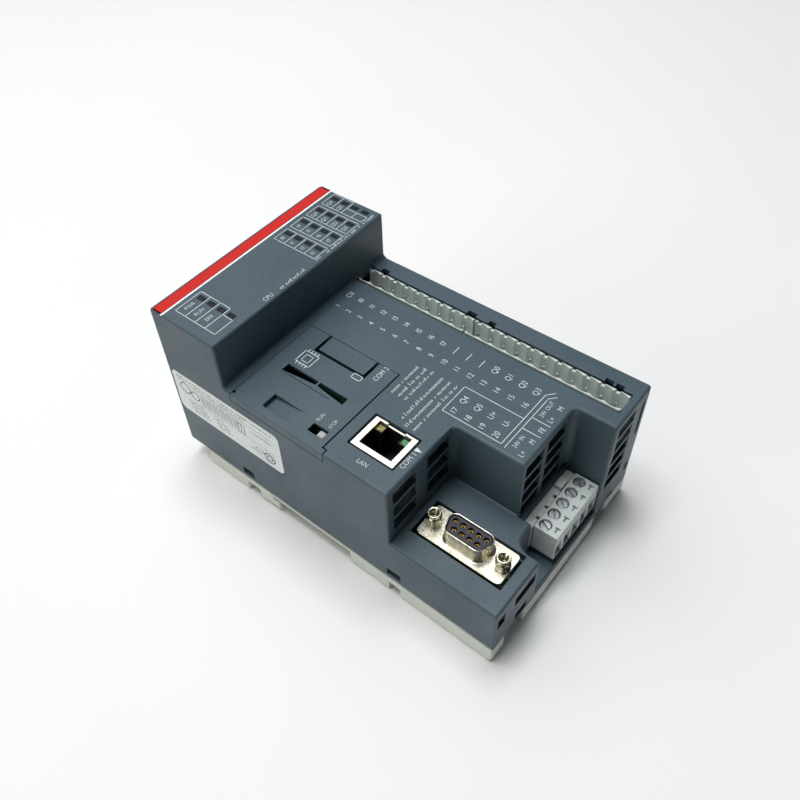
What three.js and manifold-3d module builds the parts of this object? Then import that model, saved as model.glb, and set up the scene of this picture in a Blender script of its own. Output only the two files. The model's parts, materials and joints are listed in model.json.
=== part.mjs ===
// Compact PLC processor module for a 35 mm DIN rail, lying on its back.
// Millimetres. +X to the module's right side, +Y to its top end, +Z out of its front face.
// The origin is under the middle of the base.
import * as THREE from "three";
import { mergeVertices } from "three/addons/utils/BufferGeometryUtils.js";
import Module from "manifold-3d";

const wasm = await Module();
wasm.setup();

// ---------- driving dimensions ----------

// Housing
const HALF_WIDTH = 41;
const HALF_LENGTH = 67.5;
const HEIGHT = 74;
const DECK_Z = 55;
const WALL = 2;
const SHELL_Z = 8.3; // lower edge of the dark shell
const TALL_Y = 38; // front wall of the tall block
const THROUGH = 1; // how far a cutting tool reaches past a face

// Connector bays, cut out of the deck's front end
const BAY_FLOOR_Z = 29.5; // top of the D-sub block
const BAY_BACK_Y = -28.6;
const MIDDLE_X = -8.5; // left wall of the middle column
const MIDDLE_Y = -53.5; // front wall of the middle column
const RIGHT_X = 19.3; // left wall of the right column
const DSUB_BLOCK_X = -18; // right side of the D-sub block beside the power plug
const RELIEF_Y = -58.6; // where the D-sub block widens
const RELIEF_R = 5; // round corner for a finger beside the plug
const BAY_CORNER_R = 2.5; // inner corner of each bay, seen from the front
const POWER_FLOOR_Z = 11;

// Cooling slots
const VENT_PITCH = 6.5;
const VENT_HEIGHT = 5;
const VENT_TOP_Z = 52;

// DIN rail seat
const BASE_TOP_Z = 8;
const RAIL_WIDTH = 35.5;
const RAIL_TOP_Y = 24.8; // where the rail's upper edge sits
const RAIL_BOTTOM_Y = RAIL_TOP_Y - RAIL_WIDTH;
const RAIL_SEAT_Z = 6.5;
const SEAT_Y = [-7.7, 21.5]; // the part of the seat that stands clear of hook and latch
const SEAT_STEP = 0.15;
const LIP_TOP_Z = 5.2; // hook and latch grip the rail's 1 mm flange above this
const BASE_END_Y = 58;
const BASE_NOTCH_Z = 5;
const KEEPER_Z = 0.95;

// Option cover in the deck
const COVER_X = -2.2;
const COVER_Y = [-2.6, 35];
const COVER_SEAM = 0.2;
const COVER_FRONT_SEAM = 0.45;
const COVER_THICK = 1.2;
const COVER_SKIRT_Z = 51.5;
const COVER_LEDGE = 1.6; // how far the deck reaches under the cover's edges
const LID_X = [-9.2, -2.2];
const LID_Y = [6.2, 25.5];
const LID_GAP = 1.1;
const CARD_Y = [3.5, 29];
const CARD_X = -19.9;
const SWITCH_X = [-36.7, -33.3];
const SWITCH_Y = [-0.5, 5.5];

// Screw terminals and headers
const POLE = 5.08;
const IO_POLES = [9, 11];
const IO_FIRST_Y = 35.5;
const IO_SPLIT = 0.6; // extra space between the two headers
const IO_X = [25.6, 33.4];
const IO_SLOT_X = [24.9, 34];
const IO_SLOT_Y = [-64.8, 37.8];
const IO_FLOOR_Z = 46; // floor of the headers' hollows
const POWER_POLES = 5;
const PLUG_X0 = -6.5;
const PLUG_Y = [-66.6, -58.3];
const PLUG_Z = [14, 26];
const PLUG_SCREW_Y = -61;
const HEADER_TOP_Z = 25;
const CLAMP_Z0 = 14.9;

// Sockets
const DSUB = { x: -26, y: -47, flangeZ: 28.8, flange: 0.6, width: 16.33, depth: 7.9, height: 5.9 };
const JACKSCREW_SPACING = 24.99;
const JACK = { x: [-32.3, -19.5], y: [-23.9, -7.8], topZ: 54.8, wall: 0.6 };
const JACK_MOUTH = { x: [-30.5, -20.3], y: [-22, -9.8] };
const JACK_KEY_Y = [-18.9, -12.9];
const BUS_Y = [44, 60];
const BUS_Z = [40.4, 50.4];

// Circuit boards
const BOARD = 1.6;
const LOWER_BOARD_Z = 11.7;
const UPPER_BOARD_Z = 38.4;
const DISPLAY_BOARD_Z = 66;
const ON_LOWER = LOWER_BOARD_Z + BOARD + 0.2;
const ON_UPPER = UPPER_BOARD_Z + BOARD + 0.2;

// Indicator windows
const WINDOW = [1.9, 3];
const STATUS = { x: -27.5, y: 57.05, pitch: 4.55, count: 4 };
const SIGNAL = { x: 13.4, pitchX: 8.15, y: 57.3, pitchY: 4.65, columns: 4, rows: 4 };
const LABEL_Y = [15.3, 66];
const LABEL_Z = [27.5, 47.5];
const STRIPE_Y = [62.2, 66.4];

const FIT = 0.3; // clearance between separate pieces

// ---------- materials ----------

function finish(color, roughness, metalness = 0) {
  return new THREE.MeshStandardMaterial({ color, roughness, metalness });
}

const SLATE = finish(0x4b5963, 0.55);
const LIGHT_GREY = finish(0xc6c8c0, 0.5);
const TERMINAL_GREY = finish(0xb9c1bf, 0.5);
const RED = finish(0xd8322a, 0.45);
const LABEL_WHITE = finish(0xe6eaea, 0.6);
const SMOKED_LENS = finish(0x20272c, 0.25);
const BLACK = finish(0x15171a, 0.5);
const WHITE = finish(0xe8e8e4, 0.45);
const BOARD_GREEN = finish(0x1f5a3c, 0.4);
const TINNED = finish(0xd5cfbf, 0.3, 1);
const NICKEL = finish(0xcfc6ae, 0.28, 1);
const BRIGHT_SHIELD = finish(0xe4e2d8, 0.2, 1);
const GOLD = finish(0xc9a24a, 0.25, 1);
const STEEL = finish(0x9ea2a4, 0.3, 1);
const YELLOW_LENS = finish(0xb0a030, 0.3);
const GREEN_LENS = finish(0x2f9a4c, 0.3);

// ---------- solids ----------

// A closed geometry as a solid. Coordinates are rounded to 0.1 micron, so that faces meant to meet do.
function toSolid(geometry) {
  const bare = geometry.clone();
  bare.deleteAttribute("normal");
  bare.deleteAttribute("uv");
  const merged = mergeVertices(bare, 1e-4);
  const vertProperties = merged.attributes.position.array.map((v) => Math.round(v * 1e4) / 1e4);
  const triVerts = new Uint32Array(merged.index.array);
  return new wasm.Manifold(new wasm.Mesh({ numProp: 3, vertProperties, triVerts }));
}

function toGeometry(solid) {
  const { vertProperties, triVerts } = solid.getMesh();
  const geometry = new THREE.BufferGeometry();
  geometry.setAttribute("position", new THREE.BufferAttribute(vertProperties, 3));
  geometry.setIndex(new THREE.BufferAttribute(triVerts, 1));
  geometry.computeVertexNormals();
  return geometry;
}

const union = (...solids) => solids.reduce((whole, next) => whole.add(next));
const cut = (solid, ...tools) => tools.reduce((left, tool) => left.subtract(tool), solid);
const range = (count) => [...Array(count).keys()];
const grown = ([low, high], by) => [low - by, high + by];
const middle = ([low, high]) => (low + high) / 2;

function block([x0, x1], [y0, y1], [z0, z1]) {
  const box = new THREE.BoxGeometry(x1 - x0, y1 - y0, z1 - z0);
  box.translate((x0 + x1) / 2, (y0 + y1) / 2, (z0 + z1) / 2);
  return toSolid(box);
}

function outlineShape(points) {
  return new THREE.Shape(points.map(([u, v]) => new THREE.Vector2(u, v)));
}

function extrude(shape, depth, curveSegments) {
  return new THREE.ExtrudeGeometry(shape, { depth, bevelEnabled: false, curveSegments });
}

// A prism standing on a shape in the XY plane.
function prism(shape, [z0, z1], curveSegments = 5) {
  return toSolid(extrude(shape, z1 - z0, curveSegments).translate(0, 0, z0));
}

// A prism along X on (y, z) points.
function prismAlongX(points, [x0, x1]) {
  const body = extrude(outlineShape(points), x1 - x0);
  const toWorld = new THREE.Matrix4().makeBasis(
    new THREE.Vector3(0, 1, 0),
    new THREE.Vector3(0, 0, 1),
    new THREE.Vector3(1, 0, 0),
  );
  return toSolid(body.applyMatrix4(toWorld).translate(x0, 0, 0));
}

// A prism along Y on (x, z) points.
function prismAlongY(points, [y0, y1]) {
  const body = extrude(outlineShape(points), y1 - y0);
  const toWorld = new THREE.Matrix4().makeBasis(
    new THREE.Vector3(1, 0, 0),
    new THREE.Vector3(0, 0, 1),
    new THREE.Vector3(0, -1, 0),
  );
  return toSolid(body.applyMatrix4(toWorld).translate(0, y1, 0));
}

// A round rod, or a hexagon when it has six sides, standing along Z.
function rod(x, y, radius, [z0, z1], sides = 16) {
  const body = new THREE.CylinderGeometry(radius, radius, z1 - z0, sides);
  return toSolid(body.rotateX(Math.PI / 2).translate(x, y, (z0 + z1) / 2));
}

// A body turned about Z from (radius, z) points that start and end on the axis.
function turned(x, y, profile, sides = 16) {
  const points = profile.map(([radius, z]) => new THREE.Vector2(radius, z));
  return toSolid(new THREE.LatheGeometry(points, sides).rotateX(Math.PI / 2).translate(x, y, 0));
}

// ---------- assembly ----------

const plcModule = new THREE.Group();

function place(name, solid, material) {
  const mesh = new THREE.Mesh(toGeometry(solid), material);
  mesh.name = name;
  plcModule.add(mesh);
}

// ---------- front housing ----------

// Plan of the shell below the D-sub block's top, moved inwards by the inset.
function lowerPlan(inset) {
  const left = -HALF_WIDTH + inset;
  const right = HALF_WIDTH - inset;
  const front = -HALF_LENGTH + inset;
  const plan = new THREE.Shape();
  plan.moveTo(left, HALF_LENGTH - inset);
  plan.lineTo(left, front);
  plan.lineTo(DSUB_BLOCK_X - inset, front);
  plan.lineTo(DSUB_BLOCK_X - inset, RELIEF_Y - RELIEF_R);
  plan.absarc(
    DSUB_BLOCK_X + RELIEF_R,
    RELIEF_Y - RELIEF_R,
    RELIEF_R + inset,
    Math.PI,
    Math.PI / 2,
    true,
  );
  plan.lineTo(MIDDLE_X - inset, RELIEF_Y + inset);
  plan.lineTo(MIDDLE_X - inset, MIDDLE_Y + inset);
  plan.lineTo(RIGHT_X + inset, MIDDLE_Y + inset);
  plan.lineTo(RIGHT_X + inset, front);
  plan.lineTo(right, front);
  plan.lineTo(right, HALF_LENGTH - inset);
  return plan;
}

// Plan of the shell above the D-sub block, with the D-sub bay and the power bay left open.
function upperPlan(inset) {
  const plan = new THREE.Shape();
  plan.moveTo(-HALF_WIDTH + inset, HALF_LENGTH - inset);
  plan.lineTo(-HALF_WIDTH + inset, BAY_BACK_Y + inset);
  roundInnerCorner(plan, MIDDLE_X, BAY_BACK_Y, inset);
  plan.lineTo(MIDDLE_X + inset, MIDDLE_Y + inset);
  roundInnerCorner(plan, RIGHT_X, MIDDLE_Y, inset);
  plan.lineTo(RIGHT_X + inset, -HALF_LENGTH + inset);
  plan.lineTo(HALF_WIDTH - inset, -HALF_LENGTH + inset);
  plan.lineTo(HALF_WIDTH - inset, HALF_LENGTH - inset);
  return plan;
}

function roundInnerCorner(plan, x, y, inset) {
  const radius = BAY_CORNER_R + inset;
  plan.absarc(x - BAY_CORNER_R, y - BAY_CORNER_R, radius, Math.PI / 2, 0, true);
}

// The housing's outer form, or its hollow when it has an inset.
function housingForm(inset, bottomZ) {
  const x = [-HALF_WIDTH + inset, HALF_WIDTH - inset];
  return union(
    block(x, [-HALF_LENGTH + inset, HALF_LENGTH - inset], [bottomZ, POWER_FLOOR_Z - inset]),
    prism(lowerPlan(inset), [bottomZ, BAY_FLOOR_Z - inset]),
    prism(upperPlan(inset), [BAY_FLOOR_Z - inset - THROUGH, DECK_Z - inset]),
    block(x, [TALL_Y + inset, HALF_LENGTH - inset], [bottomZ, HEIGHT - inset]),
  );
}

// Rows of slots in a wall that faces along Y, counted down from the top row.
function ventRows(x, [y0, y1], rows) {
  return range(rows).map((row) => {
    const top = VENT_TOP_Z - row * VENT_PITCH;
    return block(x, [y0 - THROUGH, y1 + THROUGH], [top - VENT_HEIGHT, top]);
  });
}

function housingVents() {
  const bayWall = [BAY_BACK_Y, BAY_BACK_Y + WALL];
  const middleWall = [MIDDLE_Y, MIDDLE_Y + WALL];
  const rightWall = [-HALF_LENGTH, -HALF_LENGTH + WALL];
  const topWall = [HALF_LENGTH - WALL, HALF_LENGTH];
  return [
    ...ventRows([-38, -27], bayWall, 3),
    ...ventRows([-21.5, -10.5], bayWall, 3),
    ...ventRows([-6.5, 2.5], middleWall, 4),
    ...ventRows([5, 15.5], middleWall, 4),
    ...ventRows([21.8, 32], rightWall, 5),
    ...[-37, -17.5, 2, 21.5].flatMap((x) => ventRows([x, x + 15.5], topWall, 4)),
    block([36.8, 38.6], grown(rightWall, THROUGH), [35, 50]),
    block([36.8, 38.6], grown(rightWall, THROUGH), [15.5, 19.5]),
  ];
}

// Snap windows for the base's four hooks, and the moulding slots in the front end.
const SNAP_Y = [
  [33, 38.4],
  [-32.4, -27],
];
const SNAP_Z = [10.3, 13.7];

function housingSlots() {
  const frontWall = [-HALF_LENGTH - THROUGH, -HALF_LENGTH + WALL + THROUGH];
  const sides = [
    [-HALF_WIDTH - THROUGH, -HALF_WIDTH + WALL + THROUGH],
    [HALF_WIDTH - WALL - THROUGH, HALF_WIDTH + THROUGH],
  ];
  return [
    ...sides.flatMap((x) => SNAP_Y.map((y) => block(x, y, SNAP_Z))),
    block([-39, -35.8], frontWall, [20, 25.2]),
    block([-30.4, -19.5], frontWall, [20.6, 25]),
    block([-29.1, -22.9], frontWall, [10, 13.4]),
    block([26.5, 30.6], frontWall, [SHELL_Z - THROUGH, 11]),
  ];
}

// Openings in the deck for the headers, sockets and the option cover.
function deckOpenings() {
  const deck = [DECK_Z - WALL - 0.5, DECK_Z + THROUGH];
  const keyNotches = [
    [30.8, 33.9],
    [-7, -3.6],
    [-14.5, -12.1],
    [-57.9, -55.1],
    [-61.4, -58.8],
  ];
  const seamX = COVER_X + COVER_SEAM;
  const seamY = [COVER_Y[0] - COVER_FRONT_SEAM, COVER_Y[1] + COVER_SEAM];
  const outside = -HALF_WIDTH - THROUGH;
  return [
    block(IO_SLOT_X, IO_SLOT_Y, deck),
    ...keyNotches.map((y) => block([IO_SLOT_X[1] - 0.5, 35.6], y, deck)),
    block(grown(JACK.x, 0.6), grown(JACK.y, 0.7), deck),
    block([outside, seamX], seamY, [DECK_Z - COVER_THICK - COVER_SEAM, deck[1]]),
    block([outside, -38.7], seamY, [COVER_SKIRT_Z - COVER_SEAM, deck[1]]),
    block([outside, -38.7], [-4.5, 0], [COVER_SKIRT_Z - COVER_SEAM, deck[1]]),
    block([-HALF_WIDTH + WALL - 0.1, COVER_X - COVER_LEDGE], grown(COVER_Y, -COVER_LEDGE), deck),
  ];
}

function windowHoles() {
  return windowCentres().map(([x, y]) =>
    block(
      [x - WINDOW[0] / 2, x + WINDOW[0] / 2],
      [y - WINDOW[1] / 2, y + WINDOW[1] / 2],
      [HEIGHT - WALL - THROUGH, HEIGHT + THROUGH],
    ),
  );
}

function statusCentres() {
  return range(STATUS.count).map((row) => [STATUS.x, STATUS.y - row * STATUS.pitch]);
}

function signalCentres(column) {
  const x = SIGNAL.x + column * SIGNAL.pitchX;
  return range(SIGNAL.rows).map((row) => [x, SIGNAL.y - row * SIGNAL.pitchY]);
}

function windowCentres() {
  return [...statusCentres(), ...range(SIGNAL.columns).flatMap(signalCentres)];
}

function frontHousing() {
  const shell = cut(housingForm(0, SHELL_Z), housingForm(WALL, SHELL_Z - THROUGH));
  const fillet = prismAlongX(
    [
      [TALL_Y, DECK_Z],
      [TALL_Y, DECK_Z + 1.3],
      [TALL_Y - 0.4, DECK_Z + 0.5],
      [TALL_Y - 1.2, DECK_Z],
    ],
    [-HALF_WIDTH, HALF_WIDTH],
  );
  const dsubHole = block([-33, -19.1], [-63.3, -30.7], [BAY_FLOOR_Z - WALL - THROUGH, BAY_FLOOR_Z + THROUGH]);
  const powerHole = block([-7.3, RIGHT_X], [MIDDLE_Y - THROUGH, MIDDLE_Y + WALL + 0.1], [POWER_FLOOR_Z, HEADER_TOP_Z + FIT]);
  const busHole = block([HALF_WIDTH - WALL - THROUGH, HALF_WIDTH + THROUGH], grown(BUS_Y, FIT), grown(BUS_Z, FIT));
  const stripePocket = block([-40.8, 40.8], STRIPE_Y, [HEIGHT - 0.6, HEIGHT + THROUGH]);
  const labelPocket = block([-HALF_WIDTH - THROUGH, -HALF_WIDTH + 0.2], LABEL_Y, LABEL_Z);
  const headerLedge = block([-7.9, RIGHT_X + 0.5], [-54.9, MIDDLE_Y + WALL], [HEADER_TOP_Z + FIT, HEADER_TOP_Z + 2]);
  return cut(
    union(shell, fillet, headerLedge),
    ...housingVents(),
    ...housingSlots(),
    ...deckOpenings(),
    ...windowHoles(),
    dsubHole,
    powerHole,
    busHole,
    stripePocket,
    labelPocket,
  );
}

place("front_housing", frontHousing(), SLATE);

// ---------- trim on the housing ----------

function stripeInsert() {
  return block([-40.7, 40.7], grown(STRIPE_Y, -0.1), [HEIGHT - 0.5, HEIGHT]);
}

function roundedPlate(y, z, radius, x) {
  const shape = new THREE.Shape();
  shape.absarc(y[0] + radius, z[0] + radius, radius, Math.PI, 1.5 * Math.PI);
  shape.absarc(y[1] - radius, z[0] + radius, radius, 1.5 * Math.PI, 2 * Math.PI);
  shape.absarc(y[1] - radius, z[1] - radius, radius, 0, Math.PI / 2);
  shape.absarc(y[0] + radius, z[1] - radius, radius, Math.PI / 2, Math.PI);
  const points = shape.getPoints(3).map((p) => [p.x, p.y]);
  return prismAlongX(points, x);
}

function ratingLabel() {
  return roundedPlate(grown(LABEL_Y, -0.1), grown(LABEL_Z, -0.1), 2.2, [-HALF_WIDTH, -HALF_WIDTH + 0.15]);
}

// A bar inside the tall block, with one finger up into each window.
function lightPipe(centres) {
  const [x] = centres[0];
  const ys = centres.map(([, y]) => y);
  const halfWidth = WINDOW[0] / 2 - 0.1;
  const halfDepth = WINDOW[1] / 2 - 0.1;
  const bar = block(
    [x - halfWidth - 0.2, x + halfWidth + 0.2],
    [Math.min(...ys) - halfDepth, Math.max(...ys) + halfDepth],
    [DISPLAY_BOARD_Z + BOARD + 0.8, HEIGHT - WALL - FIT],
  );
  const fingers = ys.map((y) =>
    block([x - halfWidth, x + halfWidth], [y - halfDepth, y + halfDepth], [HEIGHT - WALL - 1, HEIGHT - 0.15]),
  );
  return union(bar, ...fingers);
}

place("stripe_insert", stripeInsert(), RED);
place("rating_label", ratingLabel(), LABEL_WHITE);
place("status_light_pipe", lightPipe(statusCentres()), SMOKED_LENS);
range(SIGNAL.columns).forEach((column) => {
  place(`signal_light_pipe_${column + 1}`, lightPipe(signalCentres(column)), SMOKED_LENS);
});

// ---------- option cover, COM2 lid ----------

function optionCover() {
  const plateZ = [DECK_Z - COVER_THICK, DECK_Z];
  const skirtZ = [COVER_SKIRT_Z, DECK_Z];
  const aboveZ = DECK_Z + THROUGH;
  const recessY = [8.7, 23.3];
  const recessX = [-38, -32.2];
  const dish = block(grown(recessX, 0.7), grown(recessY, 0.8), [DECK_Z - 2.6, plateZ[0]]);
  const body = union(
    block([-HALF_WIDTH, COVER_X], COVER_Y, plateZ),
    block([-HALF_WIDTH, -39.4], COVER_Y, skirtZ),
    block([-HALF_WIDTH, -39], [-4.3, COVER_Y[0]], skirtZ),
    dish,
  );
  const recess = prismAlongX(
    [
      [recessY[1], DECK_Z - 2],
      [recessY[1], aboveZ],
      [recessY[0], aboveZ],
      [recessY[0], DECK_Z],
    ],
    recessX,
  );
  const cardThroat = prism(
    outlineShape([
      [CARD_X, CARD_Y[1]],
      [CARD_X, CARD_Y[0]],
      [-22.8, CARD_Y[0]],
      [-21.5, 15.4],
      [-23.2, CARD_Y[1]],
    ]),
    [plateZ[0] - 1, aboveZ],
  );
  const cardRib = block([-24, CARD_X + 0.2], [15, 15.8], plateZ);
  const scoredLine = block([-23.7, -23.4], [8.5, 28], [DECK_Z - 0.4, aboveZ]);
  const lidGap = block(
    [LID_X[0] - LID_GAP, COVER_X + THROUGH],
    grown(LID_Y, LID_GAP),
    [plateZ[0] - THROUGH, aboveZ],
  );
  const switchWindow = block(SWITCH_X, SWITCH_Y, [plateZ[0] - THROUGH, aboveZ]);
  const cornerHole = block([-39.9, -38.7], [34.1, COVER_Y[1] + THROUGH], [plateZ[0] - THROUGH, aboveZ]);
  return cut(body, recess, cut(cardThroat, cardRib), scoredLine, lidGap, switchWindow, cornerHole);
}

place("option_cover", optionCover(), SLATE);
place("com2_lid", block(LID_X, LID_Y, [DECK_Z - COVER_THICK, DECK_Z]), SLATE);

// ---------- run/stop switch, card socket, option socket ----------

function switchBody() {
  const well = block([-36.5, -33.5], [-0.4, 5.4], [47.8, 53]);
  return cut(block([-38.2, -32.2], [-2, 7], [ON_UPPER, 52]), well);
}

function cardSocket() {
  const slit = block([-21.6, CARD_X], [3.8, 28.7], [44, 51]);
  return cut(block([-25, -18.6], [2.4, 30], [ON_UPPER, 50.4]), slit);
}

function optionSocket() {
  const cavity = block([-7, -5], [10, 22], [43, 49]);
  return cut(block([-8, -4], [8.5, 23.5], [ON_UPPER, 48]), cavity);
}

place("mode_switch_body", switchBody(), BLACK);
place("mode_switch_slider", block([-36.2, -33.8], [0, 2.4], [48.2, 54.2]), WHITE);
place("card_socket", cardSocket(), BLACK);
place("option_socket", optionSocket(), BLACK);

// ---------- base plate, latch, latch spring ----------

const LATCH_TAB_X = [-23.3, 19.7];
const LATCH_BODY_X = [-14, 10];
const LATCH_TAB_Y = -60;
const LATCH_Z = [1.3, 5.8];
const LATCH_NOSE_Y = -8.2;
const FRONT_GAPS_X = [
  [-34, LATCH_TAB_X[0] - FIT],
  [LATCH_TAB_X[1] + FIT, 27.9],
];
const SPRING = { x: -2, z: 3.55, y: [-46.8, -28.3], radius: 1.6, wire: 0.32, turns: 7 };
const SPRING_WINDOW_X = [-5, 1];

function sideProfile() {
  return [
    [-HALF_LENGTH, BASE_TOP_Z],
    [-HALF_LENGTH, 2],
    [-HALF_LENGTH + 0.7, 0.5],
    [-HALF_LENGTH + 2, 0],
    [-32, 0],
    [-32, BASE_NOTCH_Z],
    [-27.5, BASE_NOTCH_Z],
    [-27.5, 0],
    [RAIL_BOTTOM_Y, 0],
    [RAIL_BOTTOM_Y, RAIL_SEAT_Z + SEAT_STEP],
    [SEAT_Y[0], RAIL_SEAT_Z + SEAT_STEP],
    [SEAT_Y[0], RAIL_SEAT_Z],
    [SEAT_Y[1], RAIL_SEAT_Z],
    [SEAT_Y[1], RAIL_SEAT_Z + SEAT_STEP],
    [RAIL_TOP_Y, RAIL_SEAT_Z + SEAT_STEP],
    [RAIL_TOP_Y, LIP_TOP_Z],
    [22, LIP_TOP_Z],
    [22, 1.3],
    [32, 1.3],
    [32, BASE_NOTCH_Z],
    [37.7, BASE_NOTCH_Z],
    [37.7, 0],
    [BASE_END_Y, 0],
    [BASE_END_Y, BASE_TOP_Z],
  ];
}

// A springy arm inside the shell wall, with a barb that reaches into the snap window.
function snapHook(side, [y0, y1]) {
  const points = [
    [38.6, BASE_TOP_Z - 0.5],
    [38.6, 11.2],
    [39.9, 11.2],
    [38.6, 13.2],
    [37.2, 13.2],
    [37.2, BASE_TOP_Z - 0.5],
  ].map(([x, z]) => [side * x, z]);
  return prismAlongY(points, [y0 + 0.5, y1 - 0.5]);
}

function basePlate() {
  const tray = block([-38.6, 38.6], [-65.2, 65.2], [7.2, SHELL_Z + 0.4]);
  const posts = [
    [-34, 60],
    [34, 60],
    [-34, -20],
    [34, -20],
  ].map(([x, y]) => rod(x, y, 2.2, [BASE_TOP_Z, LOWER_BOARD_Z - 0.1], 12));
  const springPost = block([SPRING_WINDOW_X[0] + FIT, SPRING_WINDOW_X[1] - FIT], [-50, -47.1], [1.7, 7]);
  const hooks = [-1, 1].flatMap((side) => SNAP_Y.map((y) => snapHook(side, y)));
  const front = -HALF_LENGTH - THROUGH;
  const guide = union(
    block(grown(LATCH_TAB_X, FIT), [front, LATCH_TAB_Y + FIT], [-THROUGH, LATCH_Z[1] + FIT]),
    block(grown(LATCH_BODY_X, FIT), [front, RAIL_BOTTOM_Y + THROUGH], [KEEPER_Z, LATCH_Z[1] + FIT]),
    block([-12, 8], [front, RAIL_BOTTOM_Y + THROUGH], [-THROUGH, KEEPER_Z + THROUGH]),
  );
  const frontGaps = FRONT_GAPS_X.flatMap((x) => [
    block(x, [front, -61], [-THROUGH, BASE_TOP_Z - 1.4]),
    block(x, [front, -HALF_LENGTH + WALL + 0.1], [-THROUGH, BASE_TOP_Z + THROUGH]),
  ]);
  const pockets = [
    [-35.5, -27],
    [24, 37],
  ].flatMap((x) => [
    block(x, [-57, -35], [-THROUGH, 6]),
    block(x, [41, 54.5], [-THROUGH, 6]),
  ]);
  const middlePockets = [-18, 4].map((x) => block([x, x + 13], [41, 54.5], [-THROUGH, 6]));
  const solid = cut(prismAlongX(sideProfile(), [-HALF_WIDTH, HALF_WIDTH]), guide, ...frontGaps, ...pockets);
  return union(cut(solid, ...middlePockets), tray, springPost, ...posts, ...hooks);
}

function dinLatch() {
  const tab = block(LATCH_TAB_X, [-HALF_LENGTH, LATCH_TAB_Y], [0.2, LATCH_Z[1]]);
  const body = block(LATCH_BODY_X, [LATCH_TAB_Y - THROUGH, RAIL_BOTTOM_Y - FIT], LATCH_Z);
  const nose = prismAlongX(
    [
      [-13, LATCH_Z[0]],
      [-9.8, LATCH_Z[0]],
      [LATCH_NOSE_Y, 3],
      [LATCH_NOSE_Y, LIP_TOP_Z],
      [-13, LIP_TOP_Z],
    ],
    LATCH_BODY_X,
  );
  const window = block(SPRING_WINDOW_X, [-50.3, -28], [0, 7]);
  const toolSlot = block([-6, 2], [-65.2, -63.4], [-THROUGH, 7]);
  return cut(union(tab, body, nose), window, toolSlot);
}

// A helix along Y.
class Helix extends THREE.Curve {
  getPoint(t, target = new THREE.Vector3()) {
    const angle = t * SPRING.turns * 2 * Math.PI;
    const radius = SPRING.radius;
    const y = SPRING.y[0] + SPRING.wire + t * (SPRING.y[1] - SPRING.y[0] - 2 * SPRING.wire);
    return target.set(SPRING.x + radius * Math.cos(angle), y, SPRING.z + radius * Math.sin(angle));
  }
}

function latchSpring() {
  const section = new THREE.Shape();
  section.absarc(0, 0, SPRING.wire, 0, 2 * Math.PI);
  const steps = SPRING.turns * 10;
  return toSolid(
    new THREE.ExtrudeGeometry(section, {
      steps,
      curveSegments: 3,
      extrudePath: new Helix(),
    }),
  );
}

place("base_plate", basePlate(), LIGHT_GREY);
place("din_latch", dinLatch(), LIGHT_GREY);
place("latch_spring", latchSpring(), STEEL);

// ---------- I/O headers ----------

// Height range of header number n along Y, and its pole centres.
function ioHeaderSpan(index) {
  const first = IO_FIRST_Y - index * (IO_POLES[0] * POLE + IO_SPLIT);
  const poles = range(IO_POLES[index]).map((n) => first - n * POLE);
  const high = index === 0 ? IO_SLOT_Y[1] - 0.2 : first + POLE / 2;
  const low = index === 0 ? poles.at(-1) - POLE / 2 + 0.2 : IO_SLOT_Y[0] + 0.2;
  return { poles, y: [low, high] };
}

// Hollow of a header: each pole is a cell whose two long sides are arcs, with cusps between cells.
function headerCavity(poles, [low, high]) {
  const leftX = IO_X[0] + 1.1;
  const rightX = IO_X[1] - 1.6;
  const bulge = 0.75;
  const half = POLE / 2;
  const radius = (half * half + bulge * bulge) / (2 * bulge);
  const spread = Math.asin(half / radius);
  const ends = grown([low, high], THROUGH); // open ends, so that the plugs stand side by side
  const arcPoints = (centreX, sign, y) =>
    [-1, -0.5, 0, 0.5, 1].map((step) => {
      const angle = step * spread;
      return [centreX + sign * (radius * Math.cos(angle) - radius + bulge), y + radius * Math.sin(angle)];
    });
  const clamp = ([x, y]) => [x, Math.min(Math.max(y, low), high)];
  const rightSide = [...poles].reverse().flatMap((y) => arcPoints(rightX, 1, y));
  const leftSide = poles.flatMap((y) => arcPoints(leftX, -1, y).reverse());
  const outline = [...rightSide, ...leftSide].map(clamp);
  const kept = outline.filter((p, i) => {
    const before = outline[(i + outline.length - 1) % outline.length];
    return Math.hypot(p[0] - before[0], p[1] - before[1]) > 0.05;
  });
  const deep = [IO_FLOOR_Z, DECK_Z + 2];
  return union(prism(outlineShape(kept), deep), block([leftX, rightX], ends, deep));
}

function ioHeader(index) {
  const { poles, y } = ioHeaderSpan(index);
  const body = block(IO_X, y, [ON_UPPER, DECK_Z + 0.25]);
  const farNotches = poles.map((pole) =>
    block([IO_X[1] - 1.9, IO_X[1] + THROUGH], [pole + 0.5, pole + 1.9], [DECK_Z - 0.9, DECK_Z + 1]),
  );
  const farStep = block([IO_X[1] - 0.6, IO_X[1] + THROUGH], grown(y, 1), [DECK_Z - 0.5, DECK_Z + 1]);
  return cut(body, headerCavity(poles, y), ...farNotches, farStep);
}

IO_POLES.forEach((count, index) => {
  place(`io_header_${count}_pole`, ioHeader(index), TERMINAL_GREY);
});

// ---------- power header and plug ----------

const poleCentres = range(POWER_POLES).map((n) => PLUG_X0 + POLE * (n + 0.5));
const PLUG_X = [PLUG_X0, PLUG_X0 + POWER_POLES * POLE];
const NOSE_Y = -49.6;
const HEADER_X = [PLUG_X[0] - 0.6, PLUG_X[1] + 0.1];
const CHAMBER_Z = [14.7, 20.9];
const SHANK_END_Z = 17.6; // above the wire, even with the clamp drawn up

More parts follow.
